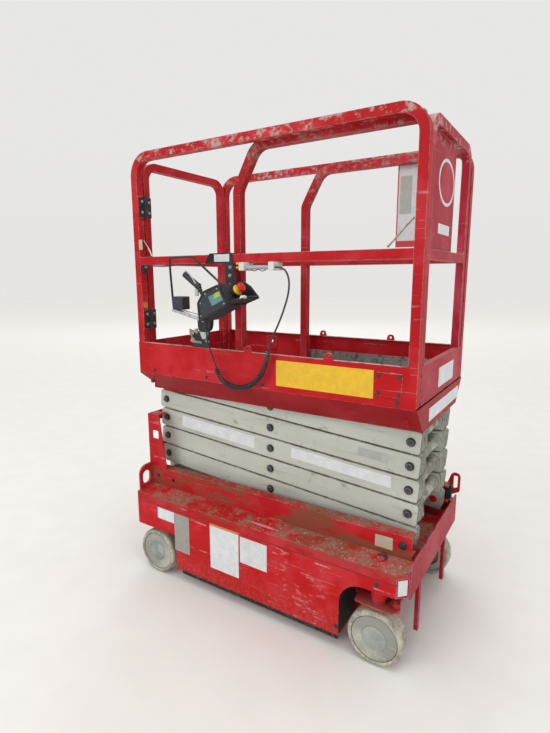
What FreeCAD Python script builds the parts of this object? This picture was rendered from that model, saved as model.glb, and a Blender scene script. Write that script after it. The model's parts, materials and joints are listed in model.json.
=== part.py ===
"""Small electric scissor lift: wheeled chassis, five-stage scissor stack, railed platform.

Lengths are in millimetres.  +X is the steered end, +Z is up, the wheels stand on z = 0.
The shapes are drawn about the platform's middle and moved by x_shift and y_shift, so that the
whole outline, with the control box that hangs outside the left rail, is centred on x = y = 0.
"""
import FreeCAD
import Part
import math
import os
import Sketcher

os.makedirs("parts", exist_ok=True)
doc = FreeCAD.newDocument("ScissorLift")

# name, value or formula, what it sets
SIZES = (
    ("x_shift", -7.5, "lengthwise move that centres the outline on x = 0"),
    ("y_shift", 37.5, "sideways move that centres the outline on y = 0"),
    ("front_pin_inset", 48.5, "front end of the platform to the front pins"),
    ("front_pin_x", "=deck_half_x - front_pin_inset", "front pins of the stack, fixed to chassis and platform"),
    ("rear_pin_inset", 37.5, "rear end of the platform to the rear pins of the folded stack"),
    ("rear_pin_x", "=rear_pin_inset - deck_half_x", "rear pins of the folded stack, on rollers"),
    ("first_pin_z", 456.2, "lowest pins above the floor"),
    ("pin_pitch", 93.7, "height between the pins of the folded stack"),
    ("stage_gap", 6.7, "between the arms of two stages in the folded stack"),
    ("arm_height", "=pin_pitch - stage_gap", "arm section height"),
    ("arm_width", 38.0, "arm section width"),
    ("arm_wall", 4.0, "arm wall, seen at the open ends"),
    ("arm_overhang", 38.0, "arm length past its end pins"),
    ("arm_corner", 12.0, "rounding of the arm ends"),
    ("stack_half", 210.0, "middle plane to the outer face of the outer arms"),
    ("arm_gap", 6.0, "between outer and inner arms"),
    ("cross_tube_r", 22.0, "tubes that join the two inner arms"),
    ("pin_r", 15.0, "arm pins"),
    ("pin_clearance", 0.05, "radial play of a pin in its bore"),
    ("roller_r", 28.0, "rollers at the foot of the stack"),
    ("top_roller_r", 24.0, "rollers under the platform"),
    ("chassis_half", 380.0, "middle plane to the outer face of chassis and tyres"),
    ("rear_overhang", 54.0, "rear pins to the rear end of the chassis"),
    ("chassis_rear_x", "=rear_pin_x - rear_overhang", "rear end of the chassis"),
    ("front_overhang", 58.5, "front pins to the front end of the chassis"),
    ("chassis_front_x", "=front_pin_x + front_overhang", "front end of the chassis"),
    ("corner_cut", 35.5, "slanted front corners of the chassis"),
    ("rail_half", 290.0, "middle plane to the outer face of the raised rails"),
    ("rail_top_z", 499.0, "top of the raised rails"),
    ("ledge_in_z", 410.0, "ledge height at the raised rail"),
    ("ledge_out_z", 396.0, "ledge height at its outer edge"),
    ("panel_low_z", 66.0, "lower edge of the side covers"),
    ("rear_panel_low_z", "=2 * wheel_r + 13", "cover edge over the rear wheels"),
    ("front_strip_low_z", "=2 * wheel_r + 85", "cover edge over the front wheels"),
    ("rear_arch", 129.5, "rear axle to the step in the covers"),
    ("rear_cut_x", "=rear_axle_x + rear_arch", "where the covers step up behind the rear wheels"),
    ("front_arch", 143.5, "front axle to the upright edge of the wheel arch"),
    ("arch_x", "=front_axle_x - front_arch", "upright edge of the front wheel arch"),
    ("arch_r", 95.0, "rounding of the front wheel arch"),
    ("wheel_r", 108.0, "tyre radius"),
    ("wheel_w", 75.0, "tyre width"),
    ("disc_r", 90.0, "wheel disc radius"),
    ("axle_r", 16.0, "wheel axle stubs"),
    ("front_axle_set", 53.5, "front pins back to the front axle"),
    ("front_axle_x", "=front_pin_x - front_axle_set", "front wheels and king pins"),
    ("rear_axle_set", 60.5, "rear pins forward to the rear axle"),
    ("rear_axle_x", "=rear_pin_x + rear_axle_set", "rear wheels"),
    ("king_half", "=chassis_half - 45", "middle plane to the king pins"),
    ("king_r", 14.0, "king pins"),
    ("steer_arm", 65.0, "king pin to track rod pin"),
    ("deck_half_x", 656.5, "half length of the platform"),
    ("deck_half_y", 337.5, "half width of the platform"),
    ("deck_rise", 65.3, "highest pins to the top of the platform floor"),
    ("deck_z", "=first_pin_z + 5 * pin_pitch + deck_rise", "top of the platform floor"),
    ("toe_height", 139.0, "height of the toe boards over the floor"),
    ("toe_top_z", "=deck_z + toe_height", "top of the toe boards"),
    ("skirt_height", 104.0, "platform floor down to the lower edge of the sloping skirt"),
    ("skirt_low_z", "=deck_z - skirt_height", "lower edge of the sloping skirt"),
    ("skirt_slope", 86.5, "how far the skirt leans in"),
    ("skirt_low_half", "=deck_half_y - skirt_slope", "half width of the skirt at its lower edge"),
    ("lug_hole_r", 5.5, "holes of the small lugs on the toe boards"),
    ("lanyard_r", 9.0, "hole of the lanyard plate"),
    ("rail_height", 969.0, "height of the fixed guard rails over the floor"),
    ("rail_top", "=deck_z + rail_height", "top of the fixed guard rails"),
    ("mid_height", 526.0, "height of the middle rails over the floor"),
    ("mid_top", "=deck_z + mid_height", "top of the middle rails"),
    ("tube", 34.0, "square rail tube"),
    ("bend_r", 100.0, "outer radius of the rail bends"),
    ("ext_inset", 45.5, "outer face of the platform to that of the sliding deck and of the gate"),
    ("ext_half", "=deck_half_y - ext_inset", "half width of the sliding deck and of the gate"),
    ("ext_rear_x", -124.0, "rear end of the sliding deck"),
    ("ext_drop", 20.0, "sliding rails below the fixed rails"),
    ("ext_top", "=rail_top - ext_drop", "top of the sliding deck's rails"),
    ("jack_foot_set", 779.0, "rear pins to the lower eye of the jack"),
    ("jack_foot_x", "=rear_pin_x + jack_foot_set", "lower eye of the lift jack"),
    ("jack_foot_drop", 30.0, "lower eye below the lowest pins"),
    ("jack_arm_s", 500.0, "upper eye along the first inner arm"),
    ("jack_arm_w", 60.0, "upper eye above that arm's centre line"),
    ("jack_barrel_r", 38.0, "jack barrel"),
    ("jack_rod_r", 20.0, "jack rod"),
    ("box_reach", 120.5, "rail face to the outermost point of the control box"),
)

sheet = doc.addObject("Spreadsheet::Sheet", "Sizes")
for row, (name, value, note) in enumerate(SIZES, start=1):
    sheet.set("A%d" % row, name)
    sheet.set("C%d" % row, note)
    sheet.setAlias("B%d" % row, name)
for row, (name, value, note) in enumerate(SIZES, start=1):
    sheet.set("B%d" % row, str(value))
doc.recompute()


class Names:
    """The sizes as plain numbers, read back from the sheet."""


S = Names()
for name, _value, _note in SIZES:
    setattr(S, name, float(sheet.get(name)))

ROLE = {"XY": "XY_Plane", "XZ": "XZ_Plane", "YZ": "YZ_Plane"}
NODES = []


def new_body(label, base=None, turn=None):
    """A body for one node, or for one more solid of a node; its placement follows the sheet."""
    body = doc.addObject("PartDesign::Body", "B_" + label)
    body.Label = label
    x, y, z = base if base else (0.0, 0.0, 0.0)
    body.Placement = FreeCAD.Placement(FreeCAD.Vector(x + S.x_shift, y + S.y_shift, z),
                                       turn if turn else FreeCAD.Rotation())
    body.setExpression("Placement.Base.x", "Sizes.x_shift + %.6f" % x)
    body.setExpression("Placement.Base.y", "Sizes.y_shift + %.6f" % y)
    NODES.append((label, body))
    return body


def corner_loop(points):
    """Lines and arcs of a closed outline; a third number rounds that corner."""
    n = len(points)
    vec = [FreeCAD.Vector(p[0], p[1], 0) for p in points]
    starts, ends, arcs = [], [], []
    for i, p in enumerate(points):
        r = p[2] if len(p) > 2 else 0.0
        a, b, c = vec[i - 1], vec[i], vec[(i + 1) % n]
        if r <= 0.0:
            starts.append(b)
            ends.append(b)
            arcs.append(None)
            continue
        u = (a - b).normalize()
        v = (c - b).normalize()
        half = u.getAngle(v) / 2.0
        t = r / math.tan(half)
        p1 = b + u * t
        p2 = b + v * t
        mid_dir = (u + v).normalize()
        centre = b + mid_dir * (r / math.sin(half))
        m = centre - mid_dir * r
        starts.append(p1)
        ends.append(p2)
        arcs.append(Part.Arc(p1, m, p2))
    out = []
    for i in range(n):
        if arcs[i] is not None:
            out.append(arcs[i])
        p, q = ends[i], starts[(i + 1) % n]
        if p.distanceToPoint(q) > 1e-6:
            out.append(Part.LineSegment(p, q))
    return out


def add_sketch(body, plane, loops, level):
    """A sketch on one of the body's own planes, moved along the axis to the given level."""
    sk = body.newObject("Sketcher::SketchObject", "Outline")
    plane_object = [f for f in body.Origin.OriginFeatures if f.Role == ROLE[plane]][0]
    sk.AttachmentSupport = [(plane_object, "")]
    sk.MapMode = "FlatFace"
    lift = -level if plane == "XZ" else level
    sk.AttachmentOffset = FreeCAD.Placement(FreeCAD.Vector(0, 0, lift), FreeCAD.Rotation())
    for loop in loops:
        if loop[0] == "circle":
            sk.addGeometry(Part.Circle(FreeCAD.Vector(loop[1], loop[2], 0),
                                       FreeCAD.Vector(0, 0, 1), loop[3]), False)
        else:
            for piece in corner_loop(loop):
                sk.addGeometry(piece, False)
    return sk


def prism(body, plane, loops, lo, hi, length=None):
    """Add a straight solid between two levels of the axis that the plane leaves out."""
    sk = add_sketch(body, plane, loops, hi if plane == "XZ" else lo)
    pad = body.newObject("PartDesign::Pad", "Block")
    pad.Profile = sk
    pad.Length = hi - lo
    if length:
        pad.setExpression("Length", length)
    sk.Visibility = False
    return pad


def cut(body, plane, loops, lo, hi):
    """Take a straight solid away between two levels of the axis that the plane leaves out."""
    sk = add_sketch(body, plane, loops, lo if plane == "XZ" else hi)
    hole = body.newObject("PartDesign::Pocket", "Opening")
    hole.Profile = sk
    hole.Length = hi - lo
    sk.Visibility = False
    return hole


def rect(x0, y0, x1, y1, r=0.0):
    """A rectangle's corner list."""
    return [(x0, y0, r), (x1, y0, r), (x1, y1, r), (x0, y1, r)]


def both(lo, hi):
    """The same span on the left and on the right of the middle plane."""
    return ((-hi, -lo), (lo, hi))


def mirror_xy(points):
    """An XY outline on the other side of the middle plane."""
    return [(p[0], -p[1]) + tuple(p[2:]) for p in points][::-1]


def mirror_y(points):
    """A YZ outline on the other side of the middle plane."""
    return [(-p[0],) + tuple(p[1:]) for p in points][::-1]


# places of the pins in the folded stack
run = S.front_pin_x - S.rear_pin_x
arm_l = math.hypot(run, S.pin_pitch)
rest_angle = math.atan2(S.pin_pitch, run)
hh = S.arm_height / 2.0
outer_lo, outer_hi = S.stack_half - S.arm_width, S.stack_half
inner_hi = outer_lo - S.arm_gap
inner_lo = inner_hi - S.arm_width
bore_r = S.pin_r + S.pin_clearance


def front_pin(i):
    """Front pin of level i, in X and Z."""
    return (S.front_pin_x, S.first_pin_z + i * S.pin_pitch)


def rear_pin(i):
    """Rear pin of level i, in X and Z."""
    return (S.rear_pin_x, S.first_pin_z + i * S.pin_pitch)


def mid_pin(i):
    """Pin at the crossing of stage i, in X and Z."""
    return ((S.front_pin_x + S.rear_pin_x) / 2.0, S.first_pin_z + (i - 0.5) * S.pin_pitch)


def along(p, q, a, w):
    """The point a along the line from p to q and w to its upper side."""
    d = math.hypot(q[0] - p[0], q[1] - p[1])
    ux, uz = (q[0] - p[0]) / d, (q[1] - p[1]) / d
    if ux < 0:
        return (p[0] + ux * a + uz * w, p[1] + uz * a - ux * w)
    return (p[0] + ux * a - uz * w, p[1] + uz * a + ux * w)


def arm_outline(p, q, past_p, past_q, r_q):
    """Outline of an arm from pin p to pin q."""
    r = S.arm_corner
    return [along(p, q, -past_p, -hh) + (r,), along(p, q, arm_l + past_q, -hh) + (r_q,),
            along(p, q, arm_l + past_q, hh) + (r_q,), along(p, q, -past_p, hh) + (r,)]


def hollow_end(body, p, q, start, stop, lo, hi):
    """Open the end of an arm like a tube."""
    w = S.arm_wall
    cut(body, "XZ", [[along(p, q, start, -hh + w), along(p, q, stop, -hh + w),
                      along(p, q, stop, hh - w), along(p, q, start, hh - w)]], lo + w, hi - w)


# scissor stages: stage number, past the top end of the inner arm, its rounding there
STAGES = (
    (1, 38.0, 12.0),
    (2, 38.0, 12.0),
    (3, 38.0, 12.0),
    (4, 38.0, 12.0),
    (5, 26.0, 26.0),
)
OPEN_DEPTH = 20.0
for stage, inner_past, inner_round in STAGES:
    body = new_body("outer_arms_%d" % stage)
    p, q = front_pin(stage - 1), rear_pin(stage)
    c = mid_pin(stage)
    holes = [("circle", p[0], p[1], bore_r), ("circle", c[0], c[1], bore_r)]
    if stage < 5:
        holes.append(("circle", q[0], q[1], bore_r))
    outline = arm_outline(p, q, S.arm_overhang, S.arm_overhang, S.arm_corner)
    for lo, hi in both(outer_lo, outer_hi):
        prism(body, "XZ", [outline] + holes, lo, hi, "Sizes.arm_width")
    for lo, hi in both(outer_lo, outer_hi):
        hollow_end(body, p, q, -S.arm_overhang - 1.0, -S.arm_overhang + OPEN_DEPTH, lo, hi)
    if stage == 5:
        for side, span in zip((-1, 1), both(outer_hi, outer_hi + 8.0)):
            prism(body, "XZ", [("circle", q[0], q[1], S.pin_r)], span[0], span[1])
        for lo, hi in both(outer_hi + 8.0, outer_hi + 34.0):
            prism(body, "XZ", [("circle", q[0], q[1], S.top_roller_r)], lo, hi)

    body = new_body("inner_arms_%d" % stage)
    p, q = rear_pin(stage - 1), front_pin(stage)
    outline = arm_outline(p, q, S.arm_overhang, inner_past, inner_round)
    for lo, hi in both(inner_lo, inner_hi):
        prism(body, "XZ", [outline], lo, hi, "Sizes.arm_width")
    for x, z in (p, q):
        prism(body, "XZ", [("circle", x, z, S.cross_tube_r)], -inner_lo, inner_lo)
    for lo, hi in both(inner_lo - 8.0, inner_lo):
        prism(body, "XZ", [("circle", q[0], q[1], S.cross_tube_r + 9.0)], lo, hi)
    if stage < 5:
        for lo, hi in both(inner_lo, inner_hi):
            hollow_end(body, p, q, arm_l + S.arm_overhang - OPEN_DEPTH,
                       arm_l + S.arm_overhang + 1.0, lo, hi)
    if stage == 1:
        eye = along(p, q, S.jack_arm_s, S.jack_arm_w)
        for lo, hi in both(inner_lo - 16.0, inner_lo - 6.0):
            prism(body, "XZ", [[along(p, q, S.jack_arm_s - 34.0, -30.0) + (6.0,),
                                along(p, q, S.jack_arm_s + 34.0, -30.0) + (6.0,),
                                along(p, q, S.jack_arm_s + 24.0, S.jack_arm_w + 26.0) + (18.0,),
                                along(p, q, S.jack_arm_s - 24.0, S.jack_arm_w + 26.0) + (18.0,)]],
                  lo, hi)
        for lo, hi in both(inner_lo - 6.0, inner_lo):
            prism(body, "XZ", [[along(p, q, S.jack_arm_s - 30.0, -26.0),
                                along(p, q, S.jack_arm_s + 30.0, -26.0),
                                along(p, q, S.jack_arm_s + 30.0, 26.0),
                                along(p, q, S.jack_arm_s - 30.0, 26.0)]], lo, hi)
        for lo, hi in both(14.5, inner_lo - 16.0):
            prism(body, "XZ", [("circle", eye[0], eye[1], 17.0)], lo, hi)
        for lo, hi in both(14.5, 24.5):
            prism(body, "XZ", [("circle", eye[0], eye[1], 22.0)], lo, hi)

    spots = [mid_pin(stage)]
    if stage > 1:
        spots.append(rear_pin(stage - 1))
    if stage < 5:
        spots.append(front_pin(stage))
    for x, z in spots:
        for side in (-1, 1):
            for r, a, b in ((S.pin_r, inner_hi, outer_hi + 0.6), (16.5, outer_hi + 0.6, outer_hi + 3.6),
                            (11.5, outer_hi + 3.6, outer_hi + 11.0)):
                lo, hi = (-b, -a) if side < 0 else (a, b)
                prism(body, "XZ", [("circle", x, z, r)], lo, hi)
    if stage == 5:
        x, z = front_pin(5)
        for lo, hi in both(inner_hi, inner_hi + 22.0):
            prism(body, "XZ", [("circle", x, z, S.pin_r)], lo, hi)
    if stage == 1:
        x, z = rear_pin(0)
        for lo, hi in both(inner_hi, 246.0):
            prism(body, "XZ", [("circle", x, z, S.pin_r)], lo, hi)
        for lo, hi in both(246.0, 276.0):
            prism(body, "XZ", [("circle", x, z, S.roller_r)], lo, hi)

# chassis frame: tray, raised rails with the roller track, belly and inner walls
TRAY_Z = 376.0
chassis = body = new_body("chassis_frame")
prism(body, "XY", [rect(S.chassis_rear_x + 6.0, -S.rail_half, S.chassis_front_x - 6.0, S.rail_half)],
      TRAY_Z - 6.0, TRAY_Z)
track_z = S.first_pin_z - S.roller_r - 0.6
near_rail = [(-S.rail_half, TRAY_Z), (-S.rail_half + 6.0, TRAY_Z), (-S.rail_half + 6.0, track_z - 8.0),
             (-240.0, track_z - 8.0), (-240.0, track_z), (-S.rail_half + 6.0, track_z),
             (-S.rail_half + 6.0, S.rail_top_z - 6.0), (-240.0, S.rail_top_z - 6.0),
             (-240.0, S.rail_top_z), (-S.rail_half, S.rail_top_z)]
body = new_body("chassis_frame")
for profile in (near_rail, mirror_y(near_rail)):
    prism(body, "YZ", [profile], S.chassis_rear_x + 6.0, S.chassis_front_x - 12.0)
for lo, hi in both(S.rail_half - 6.0, S.rail_half):
    cut(body, "XZ", [("circle", S.rear_pin_x + 2.0, 457.0, 9.0), ("circle", S.rear_pin_x + 100.0, 449.0, 9.0)],
        lo - 1.0, hi + 1.0)
body = new_body("chassis_frame")
x, z = front_pin(0)
for lo, hi in both(outer_hi + 5.5, S.rail_half - 6.0):
    prism(body, "XZ", [("circle", x, z, 24.0)], lo, hi)
for lo, hi in both(inner_hi + 1.0, outer_hi + 5.5):
    prism(body, "XZ", [("circle", x, z, S.pin_r)], lo, hi)
inner_wall = 212.0
for lo, hi in both(inner_wall - 6.0, inner_wall):
    body = new_body("chassis_frame")
    prism(body, "XZ", [rect(S.arch_x, 290.0, S.chassis_front_x - 6.0, TRAY_Z - 6.0)], lo, hi)
    body = new_body("chassis_frame")
    prism(body, "XZ", [rect(S.arch_x, S.panel_low_z - 6.0, S.front_axle_x + 17.5, 290.0)], lo, hi)
body = new_body("chassis_frame")
for lo, hi in both(S.rail_half - 6.0, S.rail_half):
    prism(body, "XZ", [rect(S.chassis_rear_x + 6.0, 72.0, S.rear_cut_x, TRAY_Z - 6.0)], lo, hi)
body = new_body("chassis_frame")
prism(body, "XY", [rect(S.rear_cut_x, -(S.chassis_half - 4.0), S.arch_x, S.chassis_half - 4.0)],
      S.panel_low_z - 6.0, S.panel_low_z)
body = new_body("chassis_frame")
for lo, hi in ((S.rear_cut_x, S.rear_cut_x + 6.0), (S.arch_x - 6.0, S.arch_x)):
    prism(body, "YZ", [rect(-(S.chassis_half - 4.0), S.panel_low_z, S.chassis_half - 4.0, TRAY_Z - 6.0)],
          lo, hi)

# ledges between the raised rails and the covers
ledges = body = new_body("side_ledges")
near_ledge = [(-S.rail_half, S.ledge_in_z), (-S.chassis_half, S.ledge_out_z),
              (-S.chassis_half, S.ledge_out_z - 15.0), (-S.chassis_half + 4.0, S.ledge_out_z - 15.0),
              (-S.chassis_half + 4.0, S.ledge_out_z - 4.0), (-S.rail_half, S.ledge_in_z - 4.0)]
for profile in (near_ledge, mirror_y(near_ledge)):
    prism(body, "YZ", [profile], S.chassis_rear_x, S.chassis_front_x)
for side, span in zip((-1, 1), both(S.rail_half, S.chassis_half - 4.0)):
    for lo, hi in ((S.chassis_rear_x, S.chassis_rear_x + 6.0), (S.chassis_front_x - 6.0, S.chassis_front_x)):
        prism(body, "YZ", [rect(span[0], 303.0, span[1], S.ledge_out_z - 2.0)], lo, hi)

# the front corners are cut off at a slant
corner_x = S.chassis_front_x - S.corner_cut
corner_y = S.chassis_half - S.corner_cut


def slant(inset):
    """Outline of what the right front corner loses, set in by the given amount."""
    a, b, far = corner_x - inset, corner_y - inset, 60.0
    return [(a - 4.0, S.chassis_half + 4.0), (S.chassis_front_x + 4.0, b - 4.0),
            (S.chassis_front_x + far, b - 4.0), (a - 4.0, S.chassis_half + far)]


for outline in (slant(0.0), mirror_xy(slant(0.0))):
    cut(body, "XY", [outline], 290.0, 420.0)
for outline in (slant(6.0), mirror_xy(slant(6.0))):
    cut(body, "XY", [outline], 290.0, 379.5)

# sheet covers on both sides
body = new_body("side_covers")
cover = [(S.chassis_rear_x, S.rear_panel_low_z), (S.rear_cut_x, S.rear_panel_low_z),
         (S.rear_cut_x, S.panel_low_z, 8.0), (S.arch_x, S.panel_low_z, 4.0),
         (S.arch_x, S.front_strip_low_z, S.arch_r), (corner_x, S.front_strip_low_z),
         (corner_x, S.ledge_out_z - 18.0), (S.chassis_rear_x, S.ledge_out_z - 18.0)]
for lo, hi in both(S.chassis_half - 4.0, S.chassis_half - 1.0):
    prism(body, "XZ", [cover, ("circle", S.front_axle_x + 1.5, 331.0, 6.0)], lo, hi)

# end plates
body = new_body("end_plates")
prism(body, "YZ", [rect(-345.0, 293.0, 345.0, 424.0, 6.0)], S.chassis_front_x, S.chassis_front_x + 6.0)
body = new_body("end_plates")
for lo, hi in both(183.0, 203.0):
    prism(body, "XY", [rect(S.chassis_front_x - 16.0, lo, S.chassis_front_x, hi)], 72.0, 370.0)
facet = [(corner_x, S.chassis_half - 5.6), (S.chassis_front_x - 5.6, corner_y), (S.chassis_front_x, corner_y),
         (corner_x, S.chassis_half)]
body = new_body("end_plates")
for outline in (facet, mirror_xy(facet)):
    prism(body, "XY", [outline], 303.0, 378.0)
body = new_body("end_plates")
prism(body, "YZ", [rect(-(S.chassis_half - 4.0), S.rear_panel_low_z, S.chassis_half - 4.0, 388.0, 6.0)],
      S.chassis_rear_x - 6.0, S.chassis_rear_x)
body = new_body("end_plates")
for lo, hi in both(S.rail_half - 60.0, S.rail_half):
    prism(body, "YZ", [rect(lo, 388.0, hi, S.rail_top_z)], S.chassis_rear_x - 6.0, S.chassis_rear_x)

# columns of the entry steps with a hand hole, joined by flat rungs behind the stack
body = new_body("step_columns")
for lo, hi in both(S.rail_half - 6.0, S.rail_half):
    back = S.chassis_rear_x
    prism(body, "XZ", [[(back, S.rail_top_z), (back + 113.0, S.rail_top_z), (back + 73.0, 768.0, 10.0),
                        (back, 768.0, 10.0)], rect(back + 25.0, 645.0, back + 67.0, 687.0, 8.0)], lo, hi)
for lo, hi in both(S.rail_half - 60.0, S.rail_half - 6.0):
    prism(body, "XY", [rect(S.chassis_rear_x, lo, S.chassis_rear_x + 67.0, hi)], 762.0, 768.0)
for lo, hi in ((560.0, 600.0), (722.0, 768.0)):
    prism(body, "XY", [rect(S.chassis_rear_x, -S.rail_half, S.chassis_rear_x + 6.0, S.rail_half)], lo, hi)

# heavy masses that the covers hide, each as one plain block
body = new_body("battery_and_pump_blocks")
for lo, hi in both(200.0, S.chassis_half - 12.0):
    prism(body, "XY", [rect(S.rear_cut_x + 99.0, lo, S.arch_x - 181.0, hi)], S.panel_low_z, 336.0)

# bars under the belly that keep the lift off potholes
body = new_body("chassis_frame")
for lo, hi in both(S.chassis_half - 36.0, S.chassis_half - 28.0):
    a, b = S.rear_cut_x + 9.0, S.arch_x - 11.0
    prism(body, "XZ", [[(a, 24.0, 10.0), (b, 24.0, 10.0), (b, S.panel_low_z - 6.0), (a, S.panel_low_z - 6.0)]],
          lo, hi)

# tie-down plates across the rear corners and a hook plate on the far front rail end
body = ledges
for flip in (1, -1):
    plate = [(-S.rail_half, 400.0), (-S.rail_half, 516.0), (-S.chassis_half + 13.0, 516.0, 45.0),
             (-S.chassis_half + 13.0, 394.0)]
    eye = rect(-S.chassis_half + 30.0, 420.0, -S.rail_half - 12.0, 485.0, 22.0)
    if flip < 0:
        plate, eye = mirror_y(plate), mirror_y(eye)
    prism(body, "YZ", [plate, eye], S.chassis_rear_x, S.chassis_rear_x + 10.0)
body = new_body("chassis_frame")
nose = S.chassis_front_x
prism(body, "XZ", [[(nose - 26.5, 432.0), (nose + 27.5, 462.0, 12.0), (nose + 27.5, 548.0, 20.0),
                    (nose - 10.5, 548.0, 20.0), (nose - 26.5, 498.0)],
                   [(nose - 1.5, 472.0, 6.0), (nose + 17.5, 480.0, 6.0), (nose + 17.5, 536.0, 9.0),
                    (nose - 1.5, 536.0, 9.0)]],
      S.rail_half, S.rail_half + 8.0)

# king pin housings and rear axle stubs
body = new_body("chassis_frame")
for side in (-1, 1):
    y = side * S.king_half
    lo, hi = (-(S.chassis_half - 4.0), -inner_wall) if side < 0 else (inner_wall, S.chassis_half - 4.0)
    prism(body, "XY", [rect(S.arch_x, lo, S.chassis_front_x - 6.0, hi)], S.front_strip_low_z + 1.0,
          S.front_strip_low_z + 13.0)
    prism(body, "XY", [("circle", S.front_axle_x, y, 30.0)], 2.0 * S.wheel_r + 46.0, 392.0)
    cut(body, "XY", [("circle", S.front_axle_x, y, S.king_r + S.pin_clearance)], 2.0 * S.wheel_r + 40.0, 386.0)
cut(body, "XY", [rect(S.front_axle_x - 40.0, -S.rail_half, S.front_axle_x + 40.0, S.rail_half)], TRAY_Z - 6.0, 400.0)
for outline in (slant(8.0), mirror_xy(slant(8.0))):
    cut(body, "XY", [outline], 296.0, 320.0)
body = ledges
for side in (-1, 1):
    y = side * S.king_half
    hexagon = [(S.front_axle_x + 15.0 * math.cos(math.radians(60 * k)),
                y + 15.0 * math.sin(math.radians(60 * k))) for k in range(6)]
    prism(body, "XY", [hexagon], 402.0, 416.0)
    prism(body, "XY", [("circle", S.front_axle_x, y, 21.0)], 399.0, 404.0)
body = new_body("chassis_frame")
for lo, hi in both(S.rail_half, S.chassis_half - 35.0):
    prism(body, "XZ", [("circle", S.rear_axle_x, S.wheel_r, S.axle_r)], lo, hi)
for lo, hi in both(S.rail_half, S.rail_half + 8.0):
    prism(body, "XZ", [("circle", S.rear_axle_x, S.wheel_r, 34.0)], lo, hi)

# jack foot on the tray
foot = (S.jack_foot_x, S.first_pin_z - S.jack_foot_drop)
body = new_body("chassis_frame")
for lo, hi in both(16.0, 27.0):
    prism(body, "XZ", [[(foot[0] - 45.0, TRAY_Z), (foot[0] + 45.0, TRAY_Z), (foot[0] + 24.0, foot[1] + 24.0, 23.0),
                        (foot[0] - 24.0, foot[1] + 24.0, 23.0)]], lo, hi)
prism(body, "XZ", [("circle", foot[0], foot[1], 12.0)], -16.0, 16.0)

# lift jack, drawn along its own +X from the lower eye
top_eye = along(rear_pin(0), front_pin(1), S.jack_arm_s, S.jack_arm_w)
jack_l = math.hypot(top_eye[0] - foot[0], top_eye[1] - foot[1])
jack_deg = math.degrees(math.atan2(top_eye[1] - foot[1], top_eye[0] - foot[0]))
jack_turn = FreeCAD.Rotation(FreeCAD.Vector(0, 1, 0), -jack_deg)
BARREL_L = jack_l - 54.0
body = new_body("jack_barrel", (foot[0], 0.0, foot[1]), jack_turn)
prism(body, "XZ", [("circle", 0.0, 0.0, 22.0)], -14.0, 14.0)
prism(body, "XZ", [rect(0.0, -20.0, 46.0, 20.0)], -14.0, 14.0)
prism(body, "YZ", [("circle", 0.0, 0.0, S.jack_barrel_r)], 44.0, BARREL_L)
cut(body, "YZ", [("circle", 0.0, 0.0, S.jack_rod_r + S.pin_clearance)], 52.0, BARREL_L + 1.0)
cut(body, "XZ", [("circle", 0.0, 0.0, 12.0 + S.pin_clearance)], -15.0, 15.0)
body = new_body("jack_rod", (foot[0], 0.0, foot[1]), jack_turn)
prism(body, "YZ", [("circle", 0.0, 0.0, S.jack_rod_r)], 54.0, jack_l - 36.0)
prism(body, "XZ", [rect(jack_l - 40.0, -15.0, jack_l, 15.0)], -12.0, 12.0)
prism(body, "XZ", [("circle", jack_l, 0.0, 20.0)], -12.0, 12.0)

# wheels: tyre and disc; corner name, side, axle place
WHEELS = (
    ("front_left", -1, S.front_axle_x),
    ("front_right", 1, S.front_axle_x),
    ("rear_left", -1, S.rear_axle_x),
    ("rear_right", 1, S.rear_axle_x),
)
face = S.chassis_half
back = S.chassis_half - S.wheel_w


def turned(body, points):
    """Turn an outline of radius and height about an axle that runs along Y."""
    sk = body.newObject("Sketcher::SketchObject", "Outline")
    plane_object = [f for f in body.Origin.OriginFeatures if f.Role == "XY_Plane"][0]
    sk.AttachmentSupport = [(plane_object, "")]
    sk.MapMode = "FlatFace"
    for piece in corner_loop(points):
        sk.addGeometry(piece, False)
    spin = body.newObject("PartDesign::Revolution", "Turned")
    spin.Profile = sk
    spin.ReferenceAxis = (sk, ["V_Axis"])
    spin.Angle = 360.0
    sk.Visibility = False
    return spin


def side_points(points, side):
    """Flip an outline of radius and height to the other side."""
    if side < 0:
        return [(p[0], -p[1]) + tuple(p[2:]) for p in points][::-1]
    return points


for name, side, axle_x in WHEELS:
    body = new_body("tyre_" + name, (axle_x, 0.0, S.wheel_r))
    ring = [(S.disc_r, back, 0.0), (S.wheel_r, back, 9.0), (S.wheel_r, face, 9.0), (S.disc_r, face, 0.0)]
    turned(body, side_points(ring, side))
    body = new_body("disc_" + name, (axle_x, 0.0, S.wheel_r))
    hole = S.axle_r + S.pin_clearance
    stub_end = S.chassis_half - 35.0
    disc = [(hole, back + 3.0), (44.0, back + 3.0), (52.0, back + 22.0), (80.0, back + 22.0),
            (S.disc_r - 6.0, back + 3.0), (S.disc_r, back + 3.0), (S.disc_r, face - 3.0),
            (S.disc_r - 5.0, face - 3.0), (S.disc_r - 8.0, face - 8.0), (40.0, face - 8.0),
            (36.0, face - 3.5), (0.0, face - 3.5), (0.0, stub_end + 1.0), (hole, stub_end + 1.0)]
    turned(body, side_points(disc, side))

plate_z = 2.0 * S.wheel_r + 10.0
leg_in = S.chassis_half - S.wheel_w - 19.0
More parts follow.
